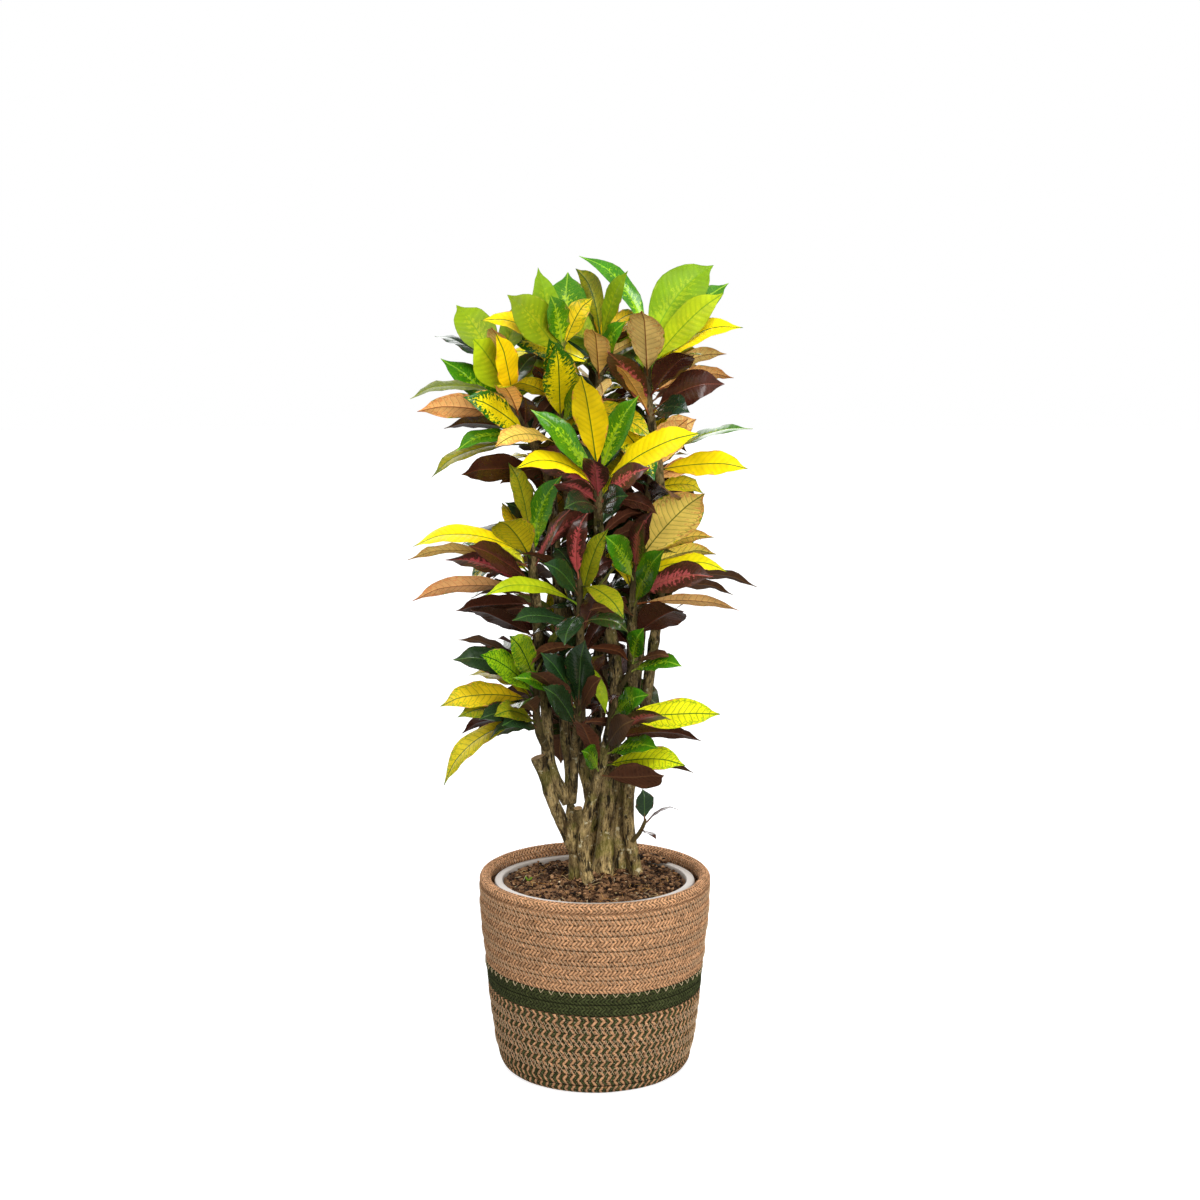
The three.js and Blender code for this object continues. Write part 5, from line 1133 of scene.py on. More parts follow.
def add_wood(heap, path, sawn, seed):
    """Bark with knots and furrows along one path; its end is a bud, or flat where it was sawn."""
    line = smooth_line(path, WOOD_SPACING)
    radii = line[:, 3].copy()
    height = np.concatenate([[0], np.cumsum(np.linalg.norm(np.diff(line[:, :3], axis=0), axis=1))])
    left = height[-1] - height
    if sawn:
        radii *= 1 + 0.10 * smooth_step(14, 0, left)
    else:
        radii = np.minimum(radii, 0.8 + 0.35 * left)
    flare = smooth_step(SOIL_LEVEL + FLARE_HEIGHT, SOIL_LEVEL, line[:, 2]) * (path[0][2] < SOIL_LEVEL)
    radii = radii * (1 + 0.16 * flare)
    points, faces = tube_mesh(line[:, :3], radii, WOOD_SIDES)
    rings = points[:-2]
    centre = np.repeat(line[:, :3], WOOD_SIDES, axis=0)
    out = unit(rings - centre)
    size = np.repeat(radii, WOOD_SIDES)
    stretched = rings * (1, 1, 0.45) + seed * 17.0
    bumps = noise(stretched, 9, 1) * 0.075 * size + noise(stretched, 4, 2) * 0.05 * size
    knots = np.clip(noise(rings + seed * 9.0, 13, 3) - 0.25, 0, 1) * 0.22 * size
    points[:-2] = rings + out * (bumps + knots)[:, None]
    young = smooth_step(OLD_WOOD, YOUNG_WOOD, size).reshape(len(line), WOOD_SIDES)[:-1].ravel()
    bark = np.zeros((len(young) + 2 * WOOD_SIDES, 3))
    bark[:len(young), 0] = young
    bark[len(young):, 0] = young[-1]
    sharp = np.zeros(len(points), bool)
    if sawn:
        bark[-WOOD_SIDES:, 1] = 1
        points[-1] = points[-2 - WOOD_SIDES:-2].mean(axis=0)
        sharp[-2 - WOOD_SIDES:-2] = True
    heap.add(points, faces, 0, sharp, bark=bark)


def make_stem(name, leaves, finishes):
    heap = Heap(leaf_at="POINT", leaf_run="POINT", leaf_base="FACE", leaf_patch="FACE", leaf_vein="FACE",
                leaf_marks="FACE", leaf_own="FACE", bark="FACE")
    for number, path in enumerate(STEMS[name]["wood"]):
        add_wood(heap, path, number in SAWN_ENDS.get(name, ()), number + len(name))
    chance = random_numbers(311 + 7 * len(leaves))
    for leaf, look in leaves:
        add_leaf(heap, leaf, look, chance)
    piece = heap.make(name + "_leafy", finishes)
    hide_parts(name)
    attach(piece, "root")


# ---------------------------------------------------------------- basket

STRANDS = 172  # strands of the braid in one turn
BRAID_COLUMNS = 5 * STRANDS + 1  # mesh columns of a braid
TIERS = 3  # bands of slanted strands in one row of braid
LINES_IN_ROW = 15  # mesh lines for each row
SLANT = 1.05  # how many strands a strand leans over within one band
ROW_RELIEF, STRAND_RELIEF = 0.9, 1.1  # how far a row and a strand stand out
RIM_RELIEF = 0.9
RELIEF_BASE = 1.3  # from the CAD model's wall to the deepest place between strands
DROP_LOW, DROP_HIGH = 8, 243  # heights towards which the drop of the rows fades out
LIP_DEPTH = 6  # how far the wall swells inwards under the rim
FLOOR_TOP = 6.8


def seam_height(row):
    """Height of a seam, or of any place between two, on the front of the basket."""
    rows = np.arange(-1, len(ROW_SEAMS) + 1)
    heights = np.array([-8, *ROW_SEAMS, BASKET_HEIGHT])
    return np.interp(row, rows, heights)


def braid_place(row, turn):
    """Height of a place in the spiral of rows, which drops by one row in each turn."""
    level = seam_height(row)
    fade = np.clip((DROP_HIGH - level) / 40, 0, 1) * np.clip((level - DROP_LOW) / 30, 0, 1)
    return seam_height(row - turn * fade)


def zigzag(value):
    """0 to 1 and back in two steps of 1."""
    return np.abs((value + 1) % 2 - 1)


def unrolled(rows, columns):
    """A grid of row values over one turn, which starts and ends at the back."""
    return np.meshgrid(rows, np.linspace(-0.5, 0.5, columns), indexing="ij")


def strand_form(strand, tier):
    """How full a strand is across its width, and along its length."""
    return np.abs(np.sin(math.pi * strand)) ** 0.7, 0.55 + 0.45 * np.abs(np.sin(math.pi * tier)) ** 0.6


def braid_grid(rows, depth, inner=False, columns=BRAID_COLUMNS):
    """The braid between two rows, a depth inside the CAD model's wall: its points and strand places."""
    row, turn = unrolled(rows, columns)
    height = braid_place(row, turn)
    number = np.floor(row + 1e-6)
    inside = np.clip(row - number, 0, 1)
    tier = TIERS * inside
    strand = STRANDS * turn + SLANT * zigzag(tier) + 0.37 * number + 0.6 * np.sin(5 * number)
    bulge = np.clip(np.sin(math.pi * inside), 0, 1) ** 0.4
    seam = np.clip(1 - np.minimum(inside, 1 - inside) * LINES_IN_ROW * 0.8, 0, 1)
    plump, full = strand_form(strand, tier)
    relief = ROW_RELIEF * bulge + STRAND_RELIEF * plump * full * np.minimum(1, 3 * bulge)
    relief = relief - RELIEF_BASE
    places = stacked(strand, tier, number)
    # The first and last numbers, the seam share, place the painted seam shade; the second, the inner flag, lets
    # painted glints onto the inner wall.
    lies = stacked(seam, float(inner), seam)
    if inner:
        relief = -relief - LIP_DEPTH * smooth_step(226, 246, height)
    radius = read_table(BASKET_OUTLINE, height) - depth + relief
    return turn, height, radius, places, lies


def ring_points(turn, height, radius):
    angle = 2 * math.pi * turn
    points = stacked(radius * np.sin(angle), -radius * np.cos(angle), height)
    shape = points.shape[:-1]
    wobble = noise(points.reshape(-1, 3) * (1, 1, 1.6), 26, 5).reshape(shape)
    outward = stacked(np.sin(angle), -np.cos(angle), 0)
    return points + outward * (0.8 * wobble)[..., None]


def make_braid(name, node, material, sections):
    """One shell of braid; its cross-section runs through the given grids and closes on itself."""
    turn, height, radius, places, lies = (np.concatenate(parts) for parts in zip(*sections))
    points = ring_points(turn, height, radius)
    rows, columns = turn.shape
    number = np.arange(rows * columns).reshape(rows, columns)
    looped = np.concatenate([number, number[:1]])
    quads = stacked(looped[:-1, :-1], looped[:-1, 1:], looped[1:, 1:], looped[1:, :-1]).reshape(-1, 4)
    ends = [number[:, 0][None], number[::-1, -1][None]]
    heap = Heap(braid_at="POINT", braid_lie="POINT")
    heap.add(points, [quads, *ends], braid_at=places, braid_lie=lies)
    piece = heap.make(name, [material])
    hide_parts(node)
    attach(piece, "root")


def inner_wall(low, high, lines, columns=BRAID_COLUMNS):
    """Hidden inner face of the wall from a high row down to a low one."""
    return braid_grid(np.linspace(high, low, lines), WALL_THICKNESS, True, columns)


def rim_roll(lines):
    """The rolled rim, from its outer foot over the top and down to the inner wall."""
    arc, turn = unrolled(np.linspace(-0.25, 1.0, lines), BRAID_COLUMNS)
    tier = 4.5 * arc + 20
    strand = STRANDS * turn + SLANT * zigzag(tier)
    plump, full = strand_form(strand, tier)
    reach = RIM_ROLL_RADIUS - RIM_RELIEF + RIM_RELIEF * plump * full
    angle = math.pi * arc
    height = BASKET_HEIGHT - RIM_ROLL_RADIUS + reach * np.sin(angle)
    radius = RIM_RADIUS + reach * np.cos(angle)
    places = stacked(strand, tier, RIM_ROW)
    # The second number lets painted glints onto the inner side of the rim.
    lies = stacked(0, 0.6 * (arc > 0.8), 0)
    return turn, height, radius, places, lies


def row_lines(first, last):
    """Row coordinates of the mesh lines between two seams."""
    return np.linspace(first, last, (last - first) * LINES_IN_ROW + 1)


def floor_sections(columns):
    """The underside in flat rows, the curve up to the wall, and the upper side of the floor."""
    radii = np.concatenate([np.linspace(0.5, 2, 3), np.linspace(3, 114, 112 * 9 // FLOOR_PITCH)])
    radius, turn = unrolled(radii, columns)
    row = radius / FLOOR_PITCH
    strands = np.round(2 * math.pi * FLOOR_PITCH * (np.floor(row) + 0.5) / 4.5)
    tier = TIERS * row
    strand = strands * turn + SLANT * zigzag(tier)
    bulge = np.sqrt(np.clip(np.sin(math.pi * (row % 1)), 0, 1))
    height = 1.9 - 1.3 * bulge - 0.5 * np.abs(np.sin(math.pi * strand))
    plain = np.zeros((*turn.shape, 3))
    under = (turn, height, radius, stacked(strand, tier, np.floor(row)), plain)
    levels = np.array([0.4, 1.6, 3.4, 5.6, 8, 10.4])
    level, turn = unrolled(levels, columns)
    rise = np.linspace(0, 1, len(levels))[:, None]
    height = level + (braid_place(0.0, turn) - ROW_SEAMS[0]) * rise
    tier = TIERS * (level - ROW_SEAMS[0]) / (ROW_SEAMS[1] - ROW_SEAMS[0])
    strand = STRANDS * turn + SLANT * zigzag(tier)
    radius = read_table(BASKET_OUTLINE, level) + 0.6 * np.abs(np.sin(math.pi * strand)) - 0.4
    bend = (turn, height, radius, stacked(strand, tier + 30, 0), np.zeros((*turn.shape, 3)))
    seam = braid_grid(np.array([0.0]), 0.3, columns=columns)
    wall = inner_wall(0, 0, 1, columns=columns)
    radius, turn = unrolled([112, 104, 85, 60, 30, 1.0], columns)
    top = (turn, np.full_like(turn, FLOOR_TOP), radius, stacked(STRANDS * turn, radius / 6, 0),
           np.zeros((*turn.shape, 3)))
    return [under, bend, seam, wall, top]


STITCHES = 64  # zigzags of the thread in one turn
STITCH_REACH = 0.3  # how far a stitch reaches from its seam, in rows
STITCH_POINTS = 8  # points on the way across the seam
THREAD_OUT, THREAD_DIP = 1.1, 1.9  # how far it lies outside the wall, and how far it dips from there


def add_stitches(heap, seam, start, radius, chance, tucked=False):
    """One sewing thread across its seam; it dips at its turns, or above the seam where it is tucked."""
    steps = np.arange(2 * STITCHES * STITCH_POINTS + 1) / STITCH_POINTS
    count = STITCHES * 2 + 2
    uneven = np.array([next(chance) - 0.5 for _ in range(2 * count)]).reshape(2, count)
    swing = zigzag(steps + start)
    turn = -0.5 + (steps + 0.35 * np.interp(steps, np.arange(count), uneven[0])) / (2 * STITCHES)
    reach = STITCH_REACH * (1 + 0.3 * np.interp(steps, np.arange(count), uneven[1]))
    row = seam + reach * (2.4 * swing - 1 if tucked else 2 * swing - 1)
    height = braid_place(row, np.clip(turn, -0.5, 0.5))
    dip = smooth_step(0, 0.06, row - seam) if tucked else np.abs(2 * swing - 1) ** 12
    line = ring_points(turn, height, read_table(BASKET_OUTLINE, height) + THREAD_OUT - THREAD_DIP * dip)
    points, faces = tube_mesh(line, np.full(len(line), radius), 5)
    heap.add(points, faces)


# ---------------------------------------------------------------- pot and soil

POT_LEAN = 9  # how much higher the front of the pot's rim stands than its back
LEAN_FROM, LEAN_OVER = 140, 90  # height where the lean starts, and the height that it grows over
SOIL_HEAPED = 6  # how far the loose soil stands above its even level
SOIL_PLAY = 0.4  # between the soil and the pot's wall
PEAT = ((70, 46, 30), (112, 80, 54), (32, 20, 12), (140, 104, 72), (176, 134, 96), (52, 34, 22))
FLECKS = ((196, 150, 84), (226, 208, 170), (168, 118, 60), (214, 186, 130))
SPROUT = (-86, -6)
SPILLED = 150  # crumbs that lie over the pot's rim, and where
SPILL_TURN, SPILL_SPREAD = math.atan2(99, 76), 0.27
SPILL_RADIUS, SPILL_WIDTH = 122, 8.5
MOUND, MOUND_SPREAD = (10, 18), 38
HOLLOW, HOLLOW_SPREAD, HOLLOW_DEPTH = (-52, 8), 13, 6
SOIL_SEGMENTS = 260


def pot_radius(height):
    reach = POT_RIM_RADIUS - POT_WALL_INSET - POT_FOOT_RADIUS
    return POT_FOOT_RADIUS + reach * (height - POT_FOOT) / (POT_TOP - POT_FOOT)


def leaning(points):
    """The pot leans a little in the basket, so its rim and the soil stand higher at the front."""
    share = np.clip((points[..., 2] - LEAN_FROM) / LEAN_OVER, 0, 1)
    raised = POT_LEAN * share * (0.5 - points[..., 1] / (2 * POT_RIM_RADIUS))
    return points + raised[..., None] * (0, 0, 1)


def lathe(profile, segments):
    """Points and faces of a turned form; its profile runs from the axis round to the axis."""
    profile = np.asarray(profile, float)
    angle = np.linspace(0, 2 * math.pi, segments, endpoint=False)
    radius, turn = np.meshgrid(profile[:, 0], angle, indexing="ij")
    points = stacked(radius * np.cos(turn), radius * np.sin(turn), profile[:, 1:2])
    return points, grid_faces(len(profile), segments, wrapped=True)


def pot_profile():
    """The pot's cross-section: under the floor, up the wall, round the rim and back inside."""
    rim, drop = POT_RIM_RADIUS, POT_TOP - POT_RIM_DROP
    inner, floor = rim - POT_RIM_WIDTH, POT_FOOT + POT_WALL
    heights = np.linspace(POT_FOOT + 3, drop + 6, 9)
    profile = [(0.01, POT_FOOT + 0.6), (60, POT_FOOT + 0.6), (84, POT_FOOT + 0.3), (88, POT_FOOT),
               (POT_FOOT_RADIUS - 2, POT_FOOT), (POT_FOOT_RADIUS - 0.4, POT_FOOT + 0.8)]
    profile += [(pot_radius(z), z) for z in heights]
    profile += [(pot_radius(POT_TOP - 2.6), POT_TOP - 2.6), (rim - 2.2, POT_TOP - 2.2), (rim - 1.8, drop + 0.4),
                (rim - 1.3, drop), (rim - 0.4, drop), (rim - 0.1, drop + 0.5), (rim, POT_TOP - 1.8),
                (rim - 0.5, POT_TOP - 0.6), (rim - 1.6, POT_TOP), (rim - 5, POT_TOP - 0.2),
                (inner + 1.4, POT_TOP), (inner + 0.5, POT_TOP - 0.4), (inner, POT_TOP - 1.6)]
    profile += [(pot_radius(z) - POT_WALL, z) for z in heights[::-1]]
    return [*profile, (POT_FOOT_RADIUS - POT_WALL - 0.6, floor + 0.6), (60, floor), (0.01, floor)]


def hill(x, y, centre, spread):
    return np.exp(-((x - centre[0]) ** 2 + (y - centre[1]) ** 2) / (2 * spread ** 2))


def soil_height(x, y):
    """Top of the soil: a low mound under the stems, and lumps."""
    mound = SOIL_MOUND * hill(x, y, MOUND, MOUND_SPREAD)
    lumps = 1.6 * np.sin(0.21 * x + 1.3 * np.sin(0.13 * y)) + 1.4 * np.sin(0.24 * y + 1.1 * np.sin(0.17 * x))
    return SOIL_LEVEL + SOIL_HEAPED + mound + lumps


def lump_mesh(chance, size, flat=0.7):
    """A small uneven lump, from an icosahedron."""
    gold = (1 + math.sqrt(5)) / 2
    corners = np.array([(-1, gold, 0), (1, gold, 0), (-1, -gold, 0), (1, -gold, 0),
                        (0, -1, gold), (0, 1, gold), (0, -1, -gold), (0, 1, -gold),
                        (gold, 0, -1), (gold, 0, 1), (-gold, 0, -1), (-gold, 0, 1)])
    faces = np.array([(0, 11, 5), (0, 5, 1), (0, 1, 7), (0, 7, 10), (0, 10, 11), (1, 5, 9), (5, 11, 4),
                      (11, 10, 2), (10, 7, 6), (7, 1, 8), (3, 9, 4), (3, 4, 2), (3, 2, 6), (3, 6, 8), (3, 8, 9),
                      (4, 9, 5), (2, 4, 11), (6, 2, 10), (8, 6, 7), (9, 8, 1)])
    uneven = np.array([0.7 + 0.6 * next(chance) for _ in range(12)])[:, None]
    stretch = np.array([0.8 + 0.6 * next(chance), 0.8 + 0.5 * next(chance), flat])
    turn = 2 * math.pi * next(chance)
    points = unit(corners) * uneven * stretch * size
    spun = np.array([[math.cos(turn), math.sin(turn), 0], [-math.sin(turn), math.cos(turn), 0], [0, 0, 1]])
    return points @ spun, faces


def add_soil_bed(heap):
    edge = pot_radius(SOIL_LEVEL) - POT_WALL - SOIL_PLAY
    radii = np.concatenate([[0.4], np.linspace(2, edge - 2, 80), [edge - 0.8, edge]])
    angle = np.linspace(0, 2 * math.pi, SOIL_SEGMENTS, endpoint=False)
    radius, turn = np.meshgrid(radii[::-1], angle, indexing="ij")
    x, y = radius * np.cos(turn), radius * np.sin(turn)
    flat = stacked(x, y, 0).reshape(-1, 3)
    rough = (2.4 * noise(flat, 13, 1) + 2.4 * noise(flat, 5.5, 2) + 1.5 * noise(flat, 2.6, 3)).reshape(x.shape)
    rough = rough * smooth_step(0, 6, edge - radius)
    hollow = -HOLLOW_DEPTH * hill(x, y, HOLLOW, HOLLOW_SPREAD)
    top = stacked(x, y, soil_height(x, y) + rough + hollow)
    floor = POT_FOOT + POT_WALL + 0.3
    side = []
    for height, inset in ((floor, POT_FOOT_RADIUS), (floor, 0), (100, 0)):
        reach = max(0.4, pot_radius(height) - POT_WALL - SOIL_PLAY - inset)
        side.append(stacked(reach * np.cos(angle), reach * np.sin(angle), height))
    points = np.concatenate([np.stack(side), top])
    faces = grid_faces(len(points), SOIL_SEGMENTS, wrapped=True)
    # Painted shade and light: the bed is near black in its hollows and lighter on its raised lumps.
    raised = np.concatenate([np.zeros(len(side) * SOIL_SEGMENTS), rough.ravel()])[faces[:, 0]]
    painted_relief_tints = linear(PEAT[2]) + (linear(PEAT[3]) - linear(PEAT[2])) * smooth_step(-2.2, 2.6, raised)[:, None]
    heap.add(leaning(points), [faces], soil_tint=painted_relief_tints)


def add_crumbs(heap, count, chance):
    reach = pot_radius(SOIL_LEVEL) - POT_WALL - 4
    for _ in range(count):
        radius, turn = reach * math.sqrt(next(chance)), 2 * math.pi * next(chance)
        x, y = radius * math.cos(turn), radius * math.sin(turn)
        size = 0.6 + 2.2 * next(chance) ** 3
        kinds = FLECKS if next(chance) < 0.035 else PEAT
        tint = linear(pick(chance, kinds))
        points, faces = lump_mesh(chance, size if kinds is PEAT else 0.7 * size)
        heap.add(leaning(points + (x, y, soil_height(x, y) + 0.5 * size + 0.8)), [faces], soil_tint=tint)


def add_fibres(heap, count, chance):
    reach = pot_radius(SOIL_LEVEL) - POT_WALL - 8
    for _ in range(count):
        radius, turn = reach * math.sqrt(next(chance)), 2 * math.pi * next(chance)
        heading, bend = 2 * math.pi * next(chance), 1.6 * (next(chance) - 0.5)
        length = 6 + 22 * next(chance) ** 2
        steps = np.linspace(0, 1, 7)
        way = heading + bend * steps
        x = radius * math.cos(turn) + np.cumsum(np.cos(way)) * length / 7
        y = radius * math.sin(turn) + np.cumsum(np.sin(way)) * length / 7
        inside = np.minimum(1, (reach + 4) / np.hypot(x, y))
        x, y = x * inside, y * inside
        lift = 1.6 + (0.6 + 4 * next(chance) ** 3) * np.sin(math.pi * steps)
        line = stacked(x, y, soil_height(x, y) + lift)
        width = 0.18 + 0.3 * next(chance)
        kinds = FLECKS if next(chance) < 0.3 else PEAT
        points, faces = tube_mesh(line, width * np.linspace(1, 0.5, 7), 4)
        heap.add(leaning(points), faces, soil_tint=linear(pick(chance, kinds)))


def add_spill(heap, chance):
    """Soil that lies over the pot's rim at the back right."""
    for _ in range(SPILLED):
        across, around = next(chance) + next(chance) - 1, next(chance) + next(chance) - 1
        turn = SPILL_TURN + SPILL_SPREAD * around
        radius = SPILL_RADIUS + SPILL_WIDTH * across
        crown = (1 - across ** 2) * (1 - around ** 2)
        size = 1.5 + 2.6 * next(chance)
        height = POT_TOP + size * 0.25 + 5.5 * crown * next(chance)
        points, faces = lump_mesh(chance, size)
        tint = linear(pick(chance, PEAT))
        heap.add(leaning(points + (radius * math.cos(turn), radius * math.sin(turn), height)), [faces],
                 soil_tint=tint)


def add_sprout(heap):
    x, y = SPROUT
    base = soil_height(x, y) + 1
    for lean, length in (((-4, -2), 9), ((5, -1), 8), ((0, -4), 6)):
        steps = np.linspace(0, 1, 6)
        line = stacked(x + lean[0] * steps, y + lean[1] * steps, base + length * np.sin(1.3 * steps))
        points, faces = tube_mesh(line, 0.4 + 0.9 * np.sin(math.pi * steps ** 1.4), 6)
        heap.add(leaning(points), faces, soil_tint=linear((112, 150, 44)))


# ---------------------------------------------------------------- settings


def colour_setting(name, description, default):
    return bpy.props.FloatVectorProperty(name=name, description=description, subtype="COLOR", size=3,
                                         min=0, max=1, default=tuple(linear(default)))


def amount_setting(name, description, default, **more):
    return bpy.props.FloatProperty(name=name, description=description, default=default, min=0, **more)


class CrotonBasketSettings(bpy.types.PropertyGroup):
    """Colours of the braided basket and the size of its thread."""

    natural: colour_setting("Natural fibre", "Colour of the undyed braid", (188, 141, 102))
    green: colour_setting("Dyed fibre", "Colour of the dark green braid", (62, 67, 37))
    thread: bpy.props.FloatProperty(name="Thread radius", description="Radius of the sewing thread",
                                    default=0.00042, min=0.0002, max=0.001, precision=5, unit="LENGTH")


class CrotonSoilSettings(bpy.types.PropertyGroup):
    """How the soil is strewn."""

    crumbs: bpy.props.IntProperty(name="Crumbs", description="Loose crumbs on the soil", default=3400, min=0)
    fibres: bpy.props.IntProperty(name="Fibres", description="Fibres and bark strips on the soil", default=380,
                                  min=0)


class CrotonStageSettings(bpy.types.PropertyGroup):
    """Floor and light."""

    floor: colour_setting("Floor", "Colour of the floor", (205, 205, 205))
    sky: amount_setting("Room light", "Strength of the even light", 0.34)
    key: amount_setting("Front light", "Strength of the wide front light", 2.1)
    top: amount_setting("Top light", "Strength of the light from above", 0.2)
    back: amount_setting("Back light", "Strength of the light from behind", 2.2)
    soft_box: amount_setting("Soft box", "Power of the box light above the front", 42, unit="POWER")
    gloss: amount_setting("Gloss lights", "Power of each light for the leaves' gloss", 20, unit="POWER")


# ---------------------------------------------------------------- operators


class CROTON_OT_basket(bpy.types.Operator):
    """Braid the basket: natural rows, green rows, two-tone rows and the floor"""

    bl_idname = "croton.basket"
    bl_label = "Braid the basket"

    def execute(self, context):
        colours = context.scene.croton_basket
        natural, green = tuple(colours.natural), tuple(colours.green)
        tan = braid_material("natural_braid", natural, natural)
        dyed = braid_material("green_braid", green, green, flecks=0.1)
        mixed = braid_material("two_tone_braid", natural, green)
        wall = np.concatenate([np.linspace(12.55, 11.2, 22), np.linspace(11, 10, 4)])
        make_braid("braid_natural_upper", "basket_natural_rows", tan,
                   [braid_grid(row_lines(UPPER_ROW, RIM_ROW), 0), braid_grid(np.linspace(12.08, 12.3, 4), 0),
                    rim_roll(26), braid_grid(wall, WALL_THICKNESS, inner=True)])
        for name, node, finish, low, high, lines in (
                ("braid_natural_lower", "basket_natural_rows", tan, NATURAL_ROW, UPPER_ROW, 6),
                ("braid_green", "basket_green_rows", dyed, GREEN_ROW, NATURAL_ROW, 4),
                ("braid_two_tone", "basket_two_tone_rows", mixed, 0, GREEN_ROW, 8)):
            make_braid(name, node, finish, [braid_grid(row_lines(low, high), 0), inner_wall(low, high, lines)])
        make_braid("braid_floor", "basket_two_tone_rows", mixed, floor_sections(STRANDS * 3 + 1))
        return {"FINISHED"}


class CROTON_OT_thread(bpy.types.Operator):
    """Sew the rows of the basket together"""

    bl_idname = "croton.thread"
    bl_label = "Sew the basket"

    def execute(self, context):
        radius = context.scene.croton_basket.thread / MM
        cream = thread_material("cream_thread", (186, 160, 118), (222, 202, 164))
        tan = thread_material("tan_thread", (186, 150, 112), (224, 194, 156))
        chance = random_numbers(THREAD_SEED)
        for name, seams, starts, finish, size, node in (
                ("thread_edge", (NATURAL_ROW,), (0,), cream, radius, "basket_green_rows"),
                ("thread_two_tone", range(1, GREEN_ROW), (0, 1), tan, 0.75 * radius, "basket_two_tone_rows"),
                ("thread_natural", range(NATURAL_ROW + 1, RIM_ROW + 1), (0, 1), tan, 0.65 * radius,
                 "basket_natural_rows")):
            heap = Heap()
            for seam in seams:
                for start in starts:
                    add_stitches(heap, seam, start, size, chance, tucked=len(starts) == 1)
            piece = heap.make(name, [finish])
            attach(piece, "root")
        return {"FINISHED"}


class CROTON_OT_pot(bpy.types.Operator):
    """Make the grey nursery pot"""

    bl_idname = "croton.pot"
    bl_label = "Make the nursery pot"

    def execute(self, context):
        heap = Heap()
        points, faces = lathe(pot_profile(), 120)
        heap.add(leaning(points), [faces])
        piece = heap.make("grey_nursery_pot", [pot_material()])
        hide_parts("nursery_pot")
        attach(piece, "root")
        return {"FINISHED"}


class CROTON_OT_soil(bpy.types.Operator):
    """Fill the pot with peat, crumbs and fibres"""

    bl_idname = "croton.soil"
    bl_label = "Fill in the soil"

    def execute(self, context):
        settings = context.scene.croton_soil
        chance = random_numbers(SOIL_SEED)
        heap = Heap(soil_tint="FACE")
        add_soil_bed(heap)
        add_crumbs(heap, settings.crumbs, chance)
        add_fibres(heap, settings.fibres, chance)
        add_spill(heap, chance)
        add_sprout(heap)
        piece = heap.make("peat_soil", [soil_material()])
        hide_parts("soil")
        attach(piece, "root")
        return {"FINISHED"}


class CROTON_OT_stems(bpy.types.Operator):
    """Grow the seven stems with their bark and leaves"""

    bl_idname = "croton.stems"
    bl_label = "Grow the stems"

    def execute(self, context):
        finishes = [bark_material(), leaf_material("croton_leaf_matt", 0.14, 0.0),
                    leaf_material("croton_leaf_glossy", 0.4, 0.25)]
        grown = grow_leaves()
        for name, leaves in grown.items():
            if not leaves:
                raise RuntimeError(f"no leaf of {name} was found on its CAD node")
            make_stem(name, leaves, finishes)
        return {"FINISHED"}


CAMERA_LENS, SENSOR_WIDTH = 66.87, 36
CAMERA_TILT = 9.6  # degrees below level
FLOOR_SPAN, FLOOR_GLOW = 9000, 0.72
LIGHTS_AIM = (0, 0, 0.6)  # in metres


def soft_room(strength):
    """Even light from all round, in front of a white backdrop."""
    world = bpy.data.worlds.new("soft_room")
    world.use_nodes = True
    nodes, links = world.node_tree.nodes, world.node_tree.links
    light = nodes["Background"]
    light.inputs["Strength"].default_value = strength
    backdrop = nodes.new("ShaderNodeBackground")
    for shade in (light, backdrop):
        shade.inputs["Color"].default_value = (1, 1, 1, 1)
    seen = nodes.new("ShaderNodeLightPath")
    chosen = nodes.new("ShaderNodeMixShader")
    links.new(seen.outputs["Is Camera Ray"], chosen.inputs[0])
    links.new(light.outputs[0], chosen.inputs[1])
    links.new(backdrop.outputs[0], chosen.inputs[2])
    links.new(chosen.outputs[0], nodes["World Output"].inputs["Surface"])
    return world


def add_light(context, name, kind, place, spread, power):
    """A sun with an angle or an area light with a size, aimed at the plant."""
    lamp = bpy.data.lights.new(name, kind)
    setattr(lamp, "angle" if kind == "SUN" else "size", spread)
    lamp.energy = power
    light = bpy.data.objects.new(name, lamp)
    light.location = place
    aim = Vector(LIGHTS_AIM) - Vector(place)
    light.rotation_euler = aim.to_track_quat("-Z", "Y").to_euler()
    context.scene.collection.objects.link(light)


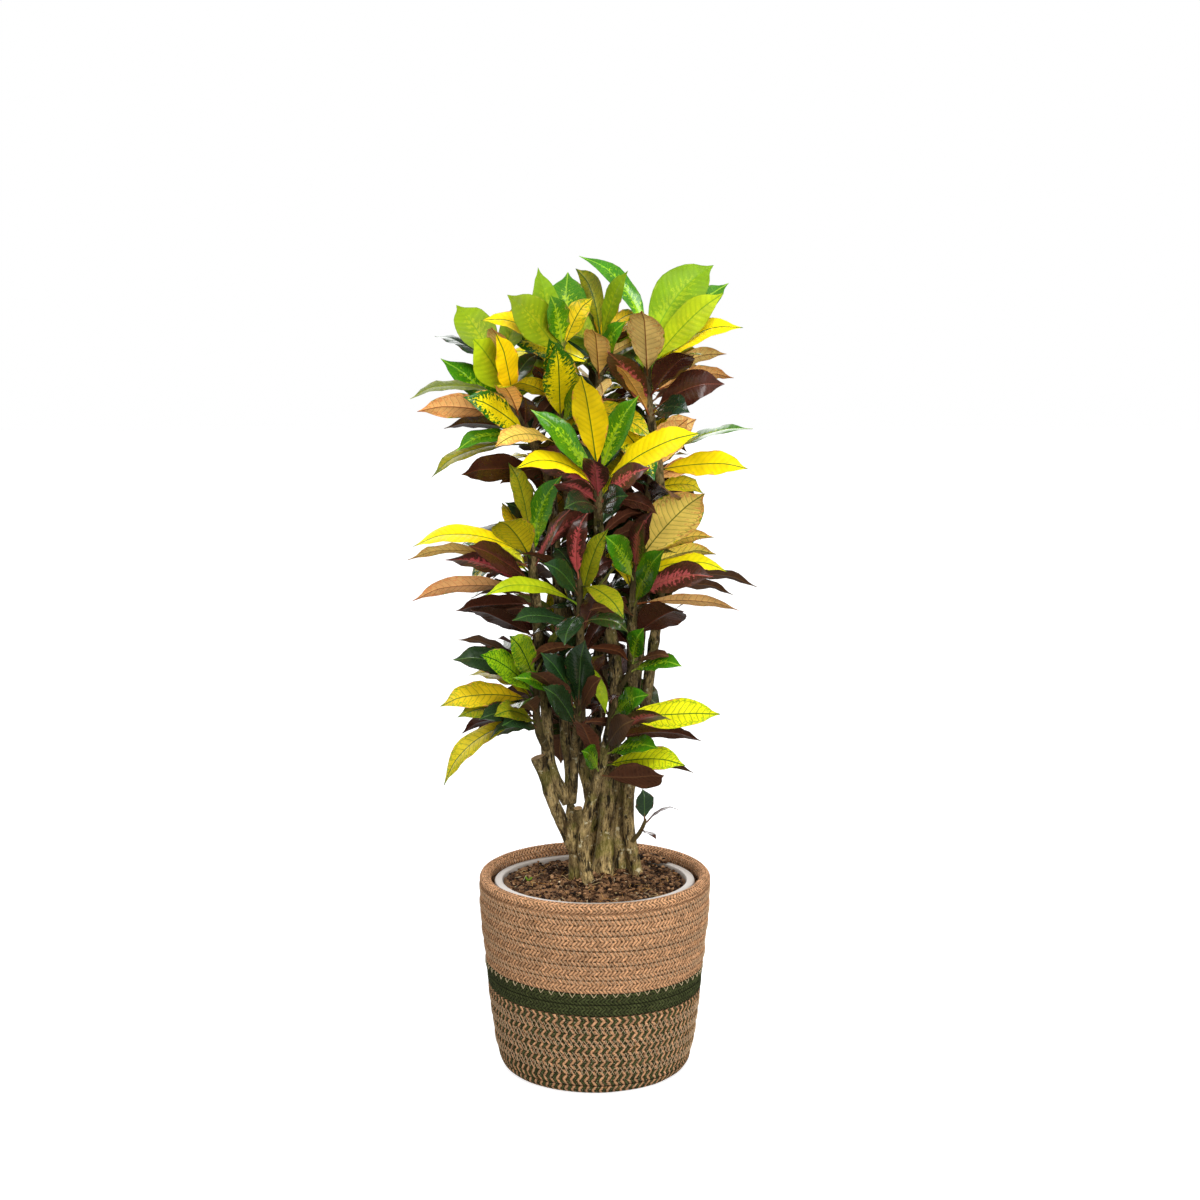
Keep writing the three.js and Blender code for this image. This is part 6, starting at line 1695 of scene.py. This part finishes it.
class CROTON_OT_stage(bpy.types.Operator):
    """Set the floor, the lights and the camera"""

    bl_idname = "croton.stage"
    bl_label = "Set the stage"

    def execute(self, context):
        settings = context.scene.croton_stage
        heap = Heap()
        steps = np.linspace(-FLOOR_SPAN, FLOOR_SPAN, 5)
        heap.add([(x, y, 0) for y in steps for x in steps], [grid_faces(5, 5)])
        made = Finish("pale_floor", roughness=0.9)
        made.finish(made.mix(made.grain(0.002 / MM), settings.floor, (0.6, 0.6, 0.6)))
        made.shader.inputs["Emission Color"].default_value = (1, 1, 1, 1)
        made.shader.inputs["Emission Strength"].default_value = FLOOR_GLOW
        ground = heap.make("studio_floor", [made.material])
        ground.visible_diffuse = ground.visible_glossy = False
        context.scene.world = soft_room(settings.sky)
        for name, kind, place, spread, power in (
                ("front_light", "SUN", (1.1, -3.4, 0.95), math.radians(28), settings.key),
                ("top_light", "SUN", (0.6, -1.4, 4.0), math.radians(40), settings.top),
                ("back_light", "SUN", (-1.4, 3.4, 1.9), math.radians(60), settings.back),
                ("gloss_front", "AREA", (0.3, -1.6, 2.7), 1.1, settings.soft_box),
                ("gloss_left", "AREA", (-2.2, -0.6, 2.6), 1.0, settings.gloss),
                ("gloss_right", "AREA", (2.2, -0.4, 2.4), 1.0, settings.gloss)):
            add_light(context, name, kind, place, spread, power)
        lens = bpy.data.cameras.new("photo_camera")
        lens.lens, lens.sensor_width = CAMERA_LENS, SENSOR_WIDTH
        camera = bpy.data.objects.new("photo_camera", lens)
        camera.location = np.array(VIEW_POINT) * MM
        camera.rotation_euler = (math.radians(90 - CAMERA_TILT), 0, 0)
        context.scene.collection.objects.link(camera)
        context.scene.camera = camera
        context.scene.view_settings.view_transform = "Standard"
        return {"FINISHED"}


class CROTON_PT_panel(bpy.types.Panel):
    """Lists the steps that build the potted croton"""

    bl_label = "Potted croton"
    bl_space_type = "VIEW_3D"
    bl_region_type = "UI"
    bl_category = "Croton"

    def draw(self, context):
        for settings in (context.scene.croton_basket, context.scene.croton_soil, context.scene.croton_stage):
            box = self.layout.box()
            for name in settings.__annotations__:
                box.prop(settings, name)
        for step in STEPS:
            self.layout.operator(step.bl_idname)


SETTINGS = {"croton_basket": CrotonBasketSettings, "croton_soil": CrotonSoilSettings,
            "croton_stage": CrotonStageSettings}
STEPS = (CROTON_OT_stage, CROTON_OT_basket, CROTON_OT_thread, CROTON_OT_pot, CROTON_OT_soil, CROTON_OT_stems)


def register():
    for name, settings in SETTINGS.items():
        bpy.utils.register_class(settings)
        setattr(bpy.types.Scene, name, bpy.props.PointerProperty(type=settings))
    for step in (*STEPS, CROTON_PT_panel):
        bpy.utils.register_class(step)


def unregister():
    for step in (CROTON_PT_panel, *STEPS[::-1]):
        bpy.utils.unregister_class(step)
    for name, settings in SETTINGS.items():
        delattr(bpy.types.Scene, name)
        bpy.utils.unregister_class(settings)


def main():
    register()
    for step in STEPS:
        family, name = step.bl_idname.split(".")
        getattr(getattr(bpy.ops, family), name)()


if __name__ == "__main__":
    main()
